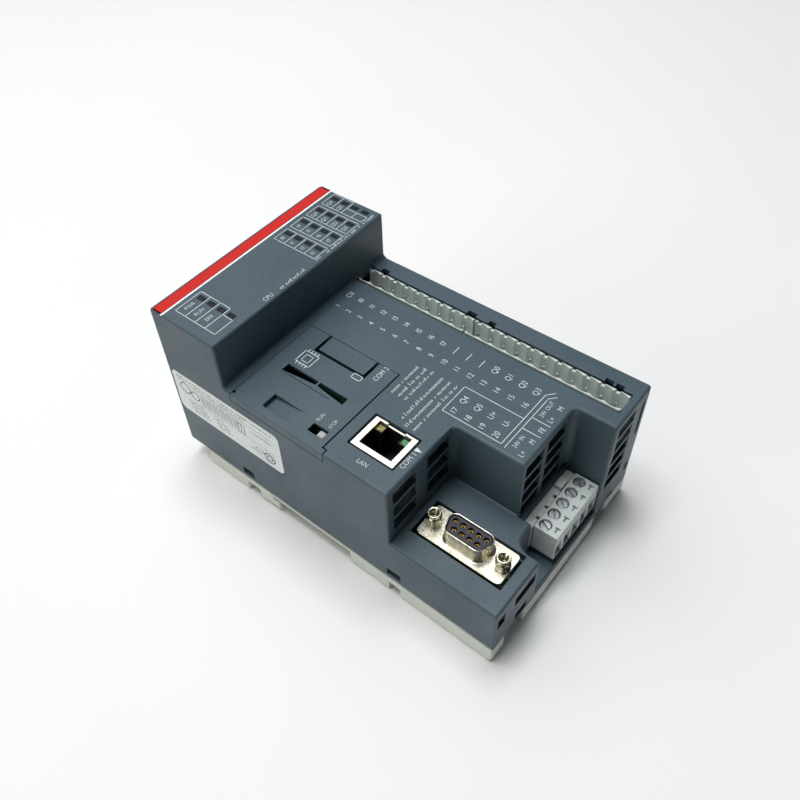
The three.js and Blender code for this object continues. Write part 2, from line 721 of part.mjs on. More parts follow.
function powerHeader() {
  const body = block(HEADER_X, [-58, -46.5], [ON_LOWER, HEADER_TOP_Z]);
  const cavity = block(grown(HEADER_X, -0.9), [-58 - THROUGH, -48.6], [14.5, 24.1]);
  const keyHoles = poleCentres
    .slice(0, 3)
    .map((x) => block([x + 0.7, x + 1.9], [-58 - THROUGH, -56.9], [HEADER_TOP_Z - 2, HEADER_TOP_Z + THROUGH]));
  const raisedKey = block([10.2, 14.4], [-58, -55.2], [24.9, 26.6]);
  return cut(union(body, raisedKey), cavity, ...keyHoles);
}

function plugBody() {
  const front = block(PLUG_X, PLUG_Y, PLUG_Z);
  const nose = block([HEADER_X[0] + 1.2, HEADER_X[1] - 1.2], [PLUG_Y[1] - THROUGH, NOSE_Y], [14.9, 23.7]);
  const tools = poleCentres.flatMap((x) => [
    rod(x, PLUG_SCREW_Y, 2.05, [21.5, PLUG_Z[1] + THROUGH], 16),
    rod(x, PLUG_SCREW_Y, 1.5, [CHAMBER_Z[1] - THROUGH, 22], 12),
    block([x - 1.95, x + 1.95], [PLUG_Y[0] - THROUGH, -58.6], CHAMBER_Z),
    block([x - 0.7, x + 1.2], [-65.1, -64.5], [PLUG_Z[1] - 1.6, PLUG_Z[1] + THROUGH]),
    block([x + 0.7, x + 1.3], [-65.7, -64], [PLUG_Z[1] - 1.6, PLUG_Z[1] + THROUGH]),
    block([x + 0.6, x + 2], [-58, -56.7], [20, 24.5]),
    block([x - 1.3, x + 1.3], [NOSE_Y - 6, NOSE_Y + THROUGH], [17, 21]),
  ]);
  return cut(union(front, nose), ...tools);
}

// A cheese-head screw whose slot stands at its own angle.
function plugScrew(x, turn) {
  const body = turned(
    x,
    PLUG_SCREW_Y,
    [
      [0, SHANK_END_Z],
      [1.1, SHANK_END_Z],
      [1.3, SHANK_END_Z + 0.3],
      [1.3, 21.8],
      [1.85, 21.8],
      [1.85, 25.1],
      [1.6, 25.4],
      [0, 25.4],
    ],
    16,
  );
  const slot = new THREE.BoxGeometry(5, 0.55, 1.6);
  slot.rotateZ(turn).translate(x, PLUG_SCREW_Y, 25.4);
  return cut(body, toSolid(slot));
}

// A rectangular cage that the screw draws up against the wire.
function plugClamp(x) {
  const y = [PLUG_SCREW_Y - 2.2, PLUG_SCREW_Y + 2];
  const z = [CLAMP_Z0, CLAMP_Z0 + 3.7];
  const frame = block([x - 1.75, x + 1.75], y, z);
  const wireWay = block([x - 1.2, x + 1.2], grown(y, THROUGH), [z[0] + 0.55, z[1] - 0.75]);
  const threaded = rod(x, PLUG_SCREW_Y, 1.4, [z[0] + 0.55, z[1] + THROUGH], 12);
  return cut(frame, wireWay, threaded);
}

place("power_header", powerHeader(), TERMINAL_GREY);
place("power_plug_body", plugBody(), TERMINAL_GREY);
const slotTurns = [1.13, 0.57, 0.9, 1.05, 0.7];
poleCentres.forEach((x, n) => {
  place(`power_plug_screw_${n + 1}`, plugScrew(x, slotTurns[n]), STEEL);
  place(`power_plug_clamp_${n + 1}`, plugClamp(x), TINNED);
});

// ---------- D-sub socket ----------

// D outline: four rounded corners, with the short side turned to -X.
function dOutline(inset) {
  const slope = Math.tan(THREE.MathUtils.degToRad(10));
  const radius = 2.6 - inset;
  const halfDepth = DSUB.depth / 2 - inset;
  const longHalf = DSUB.width / 2 - inset;
  const shortHalf = longHalf - 2 * halfDepth * slope;
  const tilt = THREE.MathUtils.degToRad(10);
  const right = DSUB.x + halfDepth - radius;
  const left = DSUB.x - halfDepth + radius;
  const longY = longHalf - radius - (radius * slope) / 2;
  const shortY = shortHalf - radius + (radius * slope) / 2;
  const shape = new THREE.Shape();
  shape.absarc(right, DSUB.y - longY, radius, -Math.PI / 2 - tilt, 0);
  shape.absarc(right, DSUB.y + longY, radius, 0, Math.PI / 2 + tilt);
  shape.absarc(left, DSUB.y + shortY, radius, Math.PI / 2 + tilt, Math.PI);
  shape.absarc(left, DSUB.y - shortY, radius, Math.PI, 1.5 * Math.PI - tilt);
  return shape;
}

const jackscrewYs = [1, -1].map((side) => DSUB.y + (side * JACKSCREW_SPACING) / 2);
const FLANGE_TOP_Z = DSUB.flangeZ + DSUB.flange;

function dsubShell() {
  const flangeX = [DSUB.x - 6.1, DSUB.x + 6.1];
  const flangeY = [DSUB.y - 15.3, DSUB.y + 15.3];
  const flange = block(flangeX, flangeY, [DSUB.flangeZ, FLANGE_TOP_Z]);
  const collar = prism(dOutline(-0.5), [DSUB.flangeZ, FLANGE_TOP_Z + 0.7]);
  const tube = prism(dOutline(0), [DSUB.flangeZ, FLANGE_TOP_Z + DSUB.height]);
  const hollow = prism(dOutline(0.5), [DSUB.flangeZ - 1, FLANGE_TOP_Z + DSUB.height + 1]);
  const screwHoles = jackscrewYs.map((y) => rod(DSUB.x, y, 1.6, [DSUB.flangeZ - 1, FLANGE_TOP_Z + 1], 12));
  return cut(union(flange, collar, tube), hollow, ...screwHoles);
}

function dsubInsulator() {
  const face = FLANGE_TOP_Z + DSUB.height - 0.3;
  const holePitch = 2.77;
  const rowGap = 2.84;
  const contactRows = [
    { x: DSUB.x + rowGap / 2, count: 5 },
    { x: DSUB.x - rowGap / 2, count: 4 },
  ];
  const holes = contactRows.flatMap(({ x, count }) =>
    range(count).map((n) => rod(x, DSUB.y + (n - (count - 1) / 2) * holePitch, 0.85, [face - 4, face + 1], 10)),
  );
  const rear = block([DSUB.x - 3.6, DSUB.x + 3.6], [DSUB.y - 9, DSUB.y + 9], [ON_LOWER, DSUB.flangeZ - FIT]);
  return cut(union(prism(dOutline(0.7), [DSUB.flangeZ - 2, face]), rear), ...holes);
}

// Hexagonal standoff with a round threaded mouth and a stud through the flange.
function dsubJackscrew(y) {
  const stud = rod(DSUB.x, y, 1.35, [24, FLANGE_TOP_Z + 1], 12);
  const hexagon = rod(DSUB.x, y, 2.7, [FLANGE_TOP_Z + 0.05, FLANGE_TOP_Z + 3.6], 6);
  const mouth = rod(DSUB.x, y, 2.15, [FLANGE_TOP_Z + 3, FLANGE_TOP_Z + 5.2], 16);
  const thread = rod(DSUB.x, y, 1.4, [FLANGE_TOP_Z + 0.8, FLANGE_TOP_Z + 6], 12);
  return cut(union(stud, hexagon, mouth), thread);
}

place("dsub_shell", dsubShell(), NICKEL);
place("dsub_insulator", dsubInsulator(), BLACK);
jackscrewYs.forEach((y, n) => place(`dsub_jackscrew_${n + 1}`, dsubJackscrew(y), NICKEL));

// ---------- Ethernet jack ----------

const LIGHT_X = [-23, -20.8];
const lightYs = [
  [JACK_KEY_Y[1] + 0.4, JACK_MOUTH.y[1] - 0.1],
  [JACK_MOUTH.y[0] + 0.1, JACK_KEY_Y[0] - 0.4],
];

function jackShield() {
  const outer = block(JACK.x, JACK.y, [ON_UPPER, JACK.topZ]);
  const inner = block(grown(JACK.x, -JACK.wall), grown(JACK.y, -JACK.wall), [ON_UPPER - 1, JACK.topZ - JACK.wall]);
  const mouth = block(JACK_MOUTH.x, JACK_MOUTH.y, [JACK.topZ - 1, JACK.topZ + 1]);
  const key = block([JACK_MOUTH.x[1] - 1, JACK.x[1] + 1], grown(JACK_KEY_Y, 0.3), [JACK.topZ - 1, JACK.topZ + 1]);
  return cut(outer, inner, mouth, key);
}

function jackInsert() {
  const top = JACK.topZ - JACK.wall - 0.15;
  const body = block(grown(JACK.x, -JACK.wall - 0.15), grown(JACK.y, -JACK.wall - 0.15), [ON_UPPER, top]);
  const plugWay = block([JACK_MOUTH.x[0] + 0.2, LIGHT_X[0] - 0.5], grown(JACK_MOUTH.y, -0.1), [42, top + 1]);
  const keyWay = block([LIGHT_X[0] - 1, -20.4], JACK_KEY_Y, [42, top + 1]);
  const lightWays = lightYs.map((y) => block(grown(LIGHT_X, 0.15), grown(y, 0.15), [45, top + 1]));
  return cut(body, plugWay, keyWay, ...lightWays);
}

// Eight spring fingers on one bar at the bottom of the jack.
function jackContacts() {
  const bar = block([-29.9, -27.6], [-20.3, -11.5], [42.3, 42.9]);
  const finger = [
    [-28.2, 42.6],
    [-27.2, 46.4],
    [-29.7, 52.8],
    [-30, 52.8],
    [-27.6, 46.4],
    [-28.6, 42.6],
  ];
  const pitch = 1.02;
  const fingers = range(8).map((n) => {
    const y = middle(JACK_MOUTH.y) + (n - 3.5) * pitch;
    return prismAlongY(finger, [y - 0.25, y + 0.25]);
  });
  return union(bar, ...fingers);
}

place("ethernet_shield", jackShield(), BRIGHT_SHIELD);
place("ethernet_insert", jackInsert(), BLACK);
place("ethernet_contacts", jackContacts(), GOLD);
["yellow", "green"].forEach((colour, n) => {
  const lens = block(LIGHT_X, lightYs[n], [45.2, 53.8]);
  place(`ethernet_light_${colour}`, lens, n === 0 ? YELLOW_LENS : GREEN_LENS);
});

// ---------- expansion bus socket ----------

function busSocket() {
  const body = block([31, HALF_WIDTH - 0.4], BUS_Y, BUS_Z);
  const cavity = block([35, HALF_WIDTH + 1], grown(BUS_Y, -1.2), grown(BUS_Z, -1.2));
  const tongue = block([34, 37.5], grown(BUS_Y, -2.6), [middle(BUS_Z) - 0.8, middle(BUS_Z) + 0.8]);
  return union(cut(body, cavity), tongue);
}

place("bus_socket", busSocket(), BLACK);

// ---------- circuit boards and what stands on them ----------

const BOARD_X = [-38.2, 38.2];
const INSIDE = WALL + 0.4;

function lowerBoard() {
  const plan = outlineShape([
    [BOARD_X[0], 64.6],
    [BOARD_X[0], -65],
    [DSUB_BLOCK_X - INSIDE, -65],
    [DSUB_BLOCK_X - INSIDE, MIDDLE_Y + INSIDE],
    [RIGHT_X + INSIDE, MIDDLE_Y + INSIDE],
    [RIGHT_X + INSIDE, -65],
    [BOARD_X[1], -65],
    [BOARD_X[1], 64.6],
  ]);
  const hookRoom = [-1, 1].flatMap((side) =>
    SNAP_Y.map((y) => block([side * 38 - 1.3, side * 38 + 1.3], grown(y, 0.4), [LOWER_BOARD_Z - 1, ON_LOWER])),
  );
  return cut(prism(plan, [LOWER_BOARD_Z, LOWER_BOARD_Z + BOARD]), ...hookRoom);
}

function upperBoard() {
  const plan = outlineShape([
    [BOARD_X[0], 64.6],
    [BOARD_X[0], BAY_BACK_Y + INSIDE],
    [MIDDLE_X + INSIDE, BAY_BACK_Y + INSIDE],
    [MIDDLE_X + INSIDE, MIDDLE_Y + INSIDE],
    [RIGHT_X + INSIDE, MIDDLE_Y + INSIDE],
    [RIGHT_X + INSIDE, -65],
    [BOARD_X[1], -65],
    [BOARD_X[1], 64.6],
  ]);
  return prism(plan, [UPPER_BOARD_Z, UPPER_BOARD_Z + BOARD]);
}

// Radial electrolytic capacitor with its crimp groove.
function capacitor(x, y, radius, height) {
  const z = ON_LOWER;
  return turned(x, y, [
    [0, z],
    [radius, z],
    [radius, z + 1.6],
    [radius - 0.5, z + 2.2],
    [radius, z + 2.8],
    [radius, z + height - 0.5],
    [radius - 0.6, z + height],
    [0, z + height],
  ]);
}

function powerInductor(x, y) {
  const ring = new THREE.TorusGeometry(6, 2.8, 8, 18);
  return toSolid(ring.translate(x, y, ON_LOWER + 2.9));
}

function powerTransformer(x, y) {
  const z = ON_LOWER;
  return union(
    block([x - 9, x + 9], [y - 8, y + 8], [z, z + 4]),
    block([x - 9, x + 9], [y - 4, y + 4], [z, z + 17]),
    block([x - 6.5, x + 6.5], [y - 8, y + 8], [z, z + 14]),
  );
}

place("lower_board", lowerBoard(), BOARD_GREEN);
place("upper_board", upperBoard(), BOARD_GREEN);
const displayPlan = [BOARD_X, [TALL_Y + INSIDE, 64.6]];
place("display_board", block(...displayPlan, [DISPLAY_BOARD_Z, DISPLAY_BOARD_Z + BOARD]), BOARD_GREEN);
place("display_link", block([-12, 12], [61, 63.5], [ON_UPPER, DISPLAY_BOARD_Z - FIT]), BLACK);
place("board_link_left", block([-36, -33], [42, 58], [ON_LOWER, UPPER_BOARD_Z - FIT]), BLACK);
place("board_link_right", block([34, 37], [-12, 18], [ON_LOWER, UPPER_BOARD_Z - FIT]), BLACK);
place("capacitor_1", capacitor(2, 28, 6.3, 22), BLACK);
place("capacitor_2", capacitor(17, 28, 6.3, 22), BLACK);
place("power_inductor", powerInductor(-18, 22), GOLD);
place("power_transformer", powerTransformer(8, -28), BLACK);
place("processor_chip", block([-8, 6], [-12, 2], [UPPER_BOARD_Z + BOARD + 0.1, UPPER_BOARD_Z + BOARD + 1.5]), BLACK);
place("ethernet_magnetics", block([-16, -10], [-23, -10], [UPPER_BOARD_Z + BOARD + 0.1, 45]), BLACK);

export default plcModule;
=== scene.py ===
"""Looks of a compact PLC processor module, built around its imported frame. Metres, +Z out of the front."""
import json
import math

import bmesh
import bpy
from mathutils import Matrix, Vector
from mathutils.geometry import delaunay_2d_cdt

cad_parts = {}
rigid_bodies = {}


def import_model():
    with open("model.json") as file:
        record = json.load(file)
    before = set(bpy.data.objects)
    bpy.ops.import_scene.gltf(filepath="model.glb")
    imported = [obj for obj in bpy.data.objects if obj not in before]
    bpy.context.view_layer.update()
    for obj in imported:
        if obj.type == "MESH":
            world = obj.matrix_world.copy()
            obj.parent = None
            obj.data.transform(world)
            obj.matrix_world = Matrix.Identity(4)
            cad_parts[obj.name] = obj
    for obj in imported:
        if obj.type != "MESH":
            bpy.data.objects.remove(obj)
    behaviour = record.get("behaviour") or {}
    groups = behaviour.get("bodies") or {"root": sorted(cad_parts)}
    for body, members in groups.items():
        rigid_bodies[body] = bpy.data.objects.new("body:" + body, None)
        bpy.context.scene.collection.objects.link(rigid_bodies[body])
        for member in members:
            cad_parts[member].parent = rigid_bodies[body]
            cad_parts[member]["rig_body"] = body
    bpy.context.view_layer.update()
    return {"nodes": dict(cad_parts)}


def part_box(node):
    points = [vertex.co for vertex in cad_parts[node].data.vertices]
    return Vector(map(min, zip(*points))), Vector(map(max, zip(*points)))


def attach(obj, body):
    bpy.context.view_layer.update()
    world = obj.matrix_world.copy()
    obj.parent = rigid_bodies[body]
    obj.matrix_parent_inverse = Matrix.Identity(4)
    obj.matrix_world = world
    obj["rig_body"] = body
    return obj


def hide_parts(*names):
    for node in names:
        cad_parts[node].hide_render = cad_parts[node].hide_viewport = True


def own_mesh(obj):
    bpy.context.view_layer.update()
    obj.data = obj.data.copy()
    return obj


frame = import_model()
scene = bpy.context.scene
nodes = frame["nodes"]
MM = 0.001

# ---------- measures taken from the frame ----------

stripe_low, stripe_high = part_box("stripe_insert")
label_low, label_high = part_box("rating_label")
plug_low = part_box("power_plug_body")[0]
shell_low, shell_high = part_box("dsub_shell")
spring_low, spring_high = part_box("latch_spring")
DECK_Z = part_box("option_cover")[1].z
TOP_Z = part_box("front_housing")[1].z
POLE = 5.08 * MM
INK = 0.02 * MM  # thickness of a printed mark


# ---------- camera, light, floor ----------

CAMERA_AZIMUTH = math.radians(-45.72)
CAMERA_ELEVATION = math.radians(47.6)
CAMERA_ROLL = math.radians(-5.38)
CAMERA_DISTANCE = 279.3 * MM
CAMERA_OFFSET = (-14.9 * MM, 7.28 * MM)  # across and up, as the camera sees it
CAMERA_LENS = 37.32


def add_camera():
    a, e, r = CAMERA_AZIMUTH, CAMERA_ELEVATION, CAMERA_ROLL
    back = Vector((math.sin(a) * math.cos(e), -math.cos(a) * math.cos(e), math.sin(e)))
    level = Vector((0, 0, 1)).cross(back).normalized()
    upright = back.cross(level)
    right = math.cos(r) * level + math.sin(r) * upright
    up = back.cross(right)
    centre = Vector((0, 0, TOP_Z / 2))
    data = bpy.data.cameras.new("camera")
    data.sensor_width = 36
    data.lens = CAMERA_LENS
    data.shift_x = 0.0579
    data.shift_y = -0.0229
    data.clip_start = 0.01
    camera = bpy.data.objects.new("camera", data)
    place = centre + back * CAMERA_DISTANCE + right * CAMERA_OFFSET[0] + up * CAMERA_OFFSET[1]
    camera.matrix_world = Matrix((right, up, back)).transposed().to_4x4()
    camera.location = place
    scene.collection.objects.link(camera)
    scene.camera = camera


def add_area_light(name, place, target, size, watts, colour=(1, 1, 1)):
    data = bpy.data.lights.new(name, "AREA")
    data.shape = "RECTANGLE"
    data.size, data.size_y = size
    data.energy = watts
    data.color = colour
    light = bpy.data.objects.new(name, data)
    light.location = place
    light.rotation_euler = (Vector(target) - Vector(place)).to_track_quat("-Z", "Y").to_euler()
    scene.collection.objects.link(light)


def add_lights():
    add_area_light("softbox", (0.1, 0.85, 1.3), (0.05, 0.4, 0), (1.8, 1.5), 12, (1, 0.99, 0.97))
    add_area_light("overhead", (0.02, 0.13, 1.2), (0, 0, 0), (0.7, 0.4), 9.5, (0.98, 0.99, 1))
    add_area_light("side", (-1.0, 0.35, 0.5), (0, 0, 0.03), (0.6, 0.6), 2.4, (1, 1, 0.88))
    world = bpy.data.worlds.new("studio")
    world.use_nodes = True
    world.node_tree.nodes["Background"].inputs["Color"].default_value = (0.8, 0.9, 1, 1)
    world.node_tree.nodes["Background"].inputs["Strength"].default_value = 0.04
    scene.world = world
    scene.view_settings.view_transform = "Standard"


# ---------- node trees ----------


class Surface:
    """One Principled material, with short calls for the nodes that feed it."""

    def __init__(self, name, **uniform):
        self.material = bpy.data.materials.new(name)
        self.material.use_nodes = True
        self.tree = self.material.node_tree
        self.shader = self.tree.nodes["Principled BSDF"]
        self.place = self.add("ShaderNodeTexCoord").outputs["Object"]
        for socket, value in uniform.items():
            self.shader.inputs[socket.replace("_", " ")].default_value = value

    def add(self, kind, **settings):
        node = self.tree.nodes.new(kind)
        for name, value in settings.items():
            setattr(node, name, value)
        return node

    def link(self, source, socket):
        self.tree.links.new(source, socket)

    def feed(self, node, **inputs):
        """Sets or links a node's inputs by name, and returns the node."""
        for name, value in inputs.items():
            socket = node.inputs[name.replace("_", " ")]
            if isinstance(value, bpy.types.NodeSocket):
                self.link(value, socket)
            else:
                socket.default_value = value
        return node

    def noise(self, grain, detail=2.0, roughness=0.5, stretch=(1, 1, 1)):
        """Noise whose blobs are about one grain across, in metres."""
        mapping = self.feed(self.add("ShaderNodeMapping"), Vector=self.place, Scale=stretch)
        texture = self.add("ShaderNodeTexNoise")
        self.feed(texture, Vector=mapping.outputs[0], Scale=1 / grain, Detail=detail, Roughness=roughness)
        return texture.outputs["Fac"]

    def cells(self, size, feature="F1"):
        texture = self.add("ShaderNodeTexVoronoi", feature=feature)
        self.feed(texture, Vector=self.place, Scale=1 / size)
        return texture

    def ramp(self, source, low, high, start=0.0, end=1.0):
        """Maps start..end of the source to low..high, clamped."""
        node = self.add("ShaderNodeMapRange")
        self.link(source, node.inputs["Value"])
        for name, value in (("From Min", start), ("From Max", end), ("To Min", low), ("To Max", high)):
            node.inputs[name].default_value = value
        return node.outputs["Result"]

    def mix(self, factor, first, second):
        node = self.add("ShaderNodeMix", data_type="RGBA")
        for socket, value in ((node.inputs[0], factor), (node.inputs[6], first), (node.inputs[7], second)):
            if isinstance(value, bpy.types.NodeSocket):
                self.link(value, socket)
            else:
                socket.default_value = value
        return node.outputs[2]

    def maths(self, operation, first, second):
        node = self.add("ShaderNodeMath", operation=operation)
        for socket, value in zip(node.inputs, (first, second)):
            if isinstance(value, bpy.types.NodeSocket):
                self.link(value, socket)
            else:
                socket.default_value = value
        return node.outputs[0]

    def edges(self, radius):
        """1 on edges narrower than the radius, 0 on flat ground."""
        bevel = self.add("ShaderNodeBevel", samples=6)
        bevel.inputs["Radius"].default_value = radius
        geometry = self.add("ShaderNodeNewGeometry")
        dot = self.add("ShaderNodeVectorMath", operation="DOT_PRODUCT")
        self.link(bevel.outputs[0], dot.inputs[0])
        self.link(geometry.outputs["Normal"], dot.inputs[1])
        return self.ramp(dot.outputs["Value"], 1.0, 0.0, 0.86, 0.995)

    def colour(self, source):
        self.link(source, self.shader.inputs["Base Color"])

    def roughness(self, source):
        self.link(source, self.shader.inputs["Roughness"])

    def bump(self, source, depth, strength=1.0):
        node = self.add("ShaderNodeBump")
        self.feed(node, Height=source, Distance=depth, Strength=strength)
        self.link(node.outputs[0], self.shader.inputs["Normal"])


def tone(red, green, blue):
    """A colour given as 0 to 255 display values, in linear light."""
    return (*(((c / 255) ** 2.2) for c in (red, green, blue)), 1)


def moulded_plastic(name, base, light, dark, rough, grain=0.45 * MM, relief=0.02 * MM, edge_wear_and_highlight=0.35):
    """Spark-eroded moulded plastic: fine grain, faint flow clouds, dust in the grain, polished edges whose
    lighter colour is painted edge highlight together with wear.
    """
    s = Surface(name, Specular_IOR_Level=0.42)
    clouds = s.ramp(s.noise(26 * MM, 3), 0.0, 0.55, 0.35, 0.7)
    speckle = s.ramp(s.noise(grain, 4, 0.65), 0.0, 0.5, 0.45, 0.75)
    body = s.mix(clouds, base, dark)
    body = s.mix(speckle, body, light)
    # Lighter colour along the edges: painted highlight on the rounded edges, with some wear; the same mask
    # lowers the roughness there.
    rubbed_and_highlit_edges = s.maths("MULTIPLY", s.edges(0.5 * MM), s.ramp(s.noise(3 * MM, 3), 0.25 * edge_wear_and_highlight, edge_wear_and_highlight, 0.35, 0.65))
    s.colour(s.mix(rubbed_and_highlit_edges, body, light))
    handled = s.ramp(s.noise(17 * MM, 4), rough - 0.05, rough + 0.07, 0.35, 0.65)
    s.roughness(s.maths("SUBTRACT", handled, s.maths("MULTIPLY", rubbed_and_highlit_edges, 0.25)))
    pits = s.maths("ADD", s.noise(grain, 3, 0.6), s.maths("MULTIPLY", s.noise(grain * 3.2, 2), 0.5))
    s.bump(pits, relief, 0.7)
    return s.material


def slate_plastic():
    return moulded_plastic("slate_plastic", tone(70, 87, 97), tone(98, 115, 124), tone(58, 74, 84), 0.47)


def base_grey_plastic():
    return moulded_plastic(
        "base_grey_plastic", tone(218, 222, 213), tone(234, 237, 231), tone(204, 208, 199), 0.5
    )


def terminal_grey_plastic():
    return moulded_plastic(
        "terminal_grey_plastic", tone(200, 209, 207), tone(224, 231, 229), tone(186, 196, 194), 0.42, 0.3 * MM
    )


def black_plastic():
    return moulded_plastic(
        "black_plastic", tone(26, 28, 32), tone(52, 55, 60), tone(18, 20, 23), 0.45, 0.25 * MM
    )


def connector_insulator_plastic():
    return moulded_plastic(
        "insulator_plastic", tone(34, 35, 48), tone(54, 55, 70), tone(24, 25, 36), 0.4, 0.2 * MM
    )


# A white slider given greyed tones: painted shade for the dark window it sits in.
def shaded_white_switch_plastic():
    return moulded_plastic(
        "shaded_white_switch_plastic", tone(170, 172, 168), tone(212, 213, 208), tone(146, 148, 144), 0.35
    )


def red_stripe():
    """Satin red insert with faint rolling marks along its length."""
    s = Surface("red_stripe", Specular_IOR_Level=0.3)
    streaks = s.noise(1.2 * MM, 3, 0.5, (0.06, 1, 1))
    s.colour(s.mix(s.ramp(streaks, 0, 0.5, 0.35, 0.7), tone(206, 36, 30), tone(188, 28, 26)))
    s.roughness(s.ramp(s.noise(9 * MM, 3), 0.5, 0.62, 0.35, 0.65))
    s.bump(s.noise(0.35 * MM, 3), 0.01 * MM, 0.5)
    return s.material


def label_film():
    """Matt polyester film, a little soiled towards one corner."""
    s = Surface("label_film", Specular_IOR_Level=0.4)
    soil = s.ramp(s.noise(8 * MM, 4), 0, 0.6, 0.5, 0.75)
    s.colour(s.mix(soil, tone(236, 240, 240), tone(220, 226, 226)))
    s.roughness(s.ramp(s.noise(2 * MM, 3), 0.36, 0.52, 0.3, 0.7))
    s.bump(s.noise(0.25 * MM, 2), 0.006 * MM, 0.5)
    return s.material


def smoked_lens():
    """Dark translucent light pipe with a moulded, slightly uneven face."""
    s = Surface("smoked_lens", Specular_IOR_Level=0.25)
    s.colour(s.mix(s.ramp(s.noise(1.5 * MM, 2), 0, 1, 0.3, 0.7), tone(18, 22, 26), tone(36, 43, 47)))
    s.roughness(s.ramp(s.noise(0.8 * MM, 2), 0.4, 0.55, 0.3, 0.7))
    s.bump(s.noise(1.1 * MM, 1), 0.03 * MM, 0.5)
    return s.material


def tinted_lens(name, deep, glint_colour):
    """Clear-tinted LED lens: paler at the middle of each small cell, a painted glint that stands in for the
    sparkle of the reflector behind it.
    """
    s = Surface(name, Coat_Weight=0.8, Coat_Roughness=0.05, Transmission_Weight=0.25, IOR=1.49)
    glint_facets = s.cells(0.9 * MM)
    # Painted glint: the colour is paler towards each cell's middle.
    s.colour(s.mix(s.ramp(glint_facets.outputs["Distance"], 0, 1, 0.0, 0.75), glint_colour, deep))
    s.roughness(s.ramp(s.noise(0.6 * MM, 2), 0.1, 0.28, 0.3, 0.7))
    s.bump(glint_facets.outputs["Distance"], 0.06 * MM, 0.6)
    return s.material


def metal(name, base, shade, rough, brushed=(1, 1, 1), grain=0.5 * MM, relief=0.008 * MM):
    """Plated sheet or turned metal: cloudy plating, fine drawn scratches, tarnish in the recesses."""
    s = Surface(name, Metallic=1.0)
    clouds = s.ramp(s.noise(5 * MM, 4), 0, 0.8, 0.4, 0.75)
    tarnish = s.ramp(s.noise(1.3 * MM, 4), 0, 0.45, 0.5, 0.8)
    s.colour(s.mix(tarnish, s.mix(clouds, base, shade), shade))
    drawn = s.noise(grain, 4, 0.6, brushed)
    s.roughness(s.ramp(drawn, rough - 0.06, rough + 0.14, 0.3, 0.7))
    s.bump(drawn, relief, 0.6)
    return s.material


def printed_circuit():
    """Solder resist with tracks and pads showing through it."""
    s = Surface("printed_circuit", Specular_IOR_Level=0.5)
    bricks = s.add("ShaderNodeTexBrick")
    s.feed(bricks, Vector=s.place, Scale=1.0)
    s.feed(bricks, Color1=(1, 1, 1, 1), Color2=(0, 0, 0, 1), Mortar=(0.5, 0.5, 0.5, 1))
    s.feed(bricks, Mortar_Size=0.25 * MM, Brick_Width=6.5 * MM, Row_Height=0.9 * MM)
    tracks = s.maths("GREATER_THAN", bricks.outputs["Color"], 0.55)
    pads = s.ramp(s.cells(3.1 * MM).outputs["Distance"], 1, 0, 0.1, 0.14)
    green = s.mix(tracks, tone(24, 84, 54), tone(38, 112, 70))
    s.colour(s.mix(s.maths("MULTIPLY", pads, 0.8), green, tone(190, 186, 168)))
    s.roughness(s.ramp(s.noise(2 * MM, 3), 0.25, 0.42, 0.3, 0.7))
    s.bump(tracks, 0.03 * MM, 0.5)
    return s.material


def capacitor_sleeve():
    """Shrunk sleeve, its colour, gloss and bump varied along soft folds."""
    s = Surface("capacitor_sleeve", Coat_Weight=0.3, Coat_Roughness=0.2)
    folds = s.noise(2.2 * MM, 3, 0.5, (1, 1, 0.25))
    s.colour(s.mix(s.ramp(folds, 0, 0.6, 0.4, 0.7), tone(24, 26, 34), tone(44, 48, 60)))
    s.roughness(s.ramp(folds, 0.3, 0.45, 0.3, 0.7))
    s.bump(folds, 0.03 * MM, 0.5)
    return s.material


def copper_winding():
    """Enamelled wire wound close round a ring, darker in the grooves between turns and lighter on their
    crests: painted shade and painted highlight.
    """
    s = Surface("copper_winding", Metallic=0.85, Coat_Weight=0.5, Coat_Roughness=0.15)
    turns = s.add("ShaderNodeTexWave", wave_type="BANDS", bands_direction="DIAGONAL")
    s.feed(turns, Vector=s.place, Scale=1 / (2.4 * MM), Distortion=1.5, Detail=1.0)
    # Painted shade in the grooves and painted highlight on the crests, following the bands of the bump.
    s.colour(s.mix(turns.outputs["Fac"], tone(112, 58, 28), tone(214, 138, 82)))
    s.roughness(s.ramp(turns.outputs["Fac"], 0.42, 0.24))
    s.bump(turns.outputs["Fac"], 0.25 * MM, 0.8)
    return s.material


def printing_ink(name, base, worn):
    """Pad-printed ink: thin spots where the grain shows through."""
    s = Surface(name, Specular_IOR_Level=0.35)
    thin = s.ramp(s.noise(0.35 * MM, 4, 0.7), 0, 0.7, 0.45, 0.8)
    s.colour(s.mix(thin, base, worn))
    s.roughness(s.ramp(s.noise(0.8 * MM, 3), 0.45, 0.65, 0.3, 0.7))
    s.bump(s.noise(0.3 * MM, 2), 0.005 * MM, 0.5)
    return s.material


def pale_floor():
    s = Surface("pale_floor", Specular_IOR_Level=0.2)
    s.colour(s.mix(s.ramp(s.noise(0.2, 2), 0, 1, 0.3, 0.7), (0.94, 0.94, 0.94, 1), (0.92, 0.925, 0.93, 1)))
    s.roughness(s.ramp(s.noise(0.05, 2), 0.75, 0.9, 0.3, 0.7))
    return s.material


SLATE = slate_plastic()
BASE_GREY = base_grey_plastic()
TERMINAL_GREY = terminal_grey_plastic()
BLACK = black_plastic()
INSULATOR = connector_insulator_plastic()
SHADED_SWITCH_WHITE = shaded_white_switch_plastic()
RED = red_stripe()
LABEL = label_film()
SMOKED = smoked_lens()
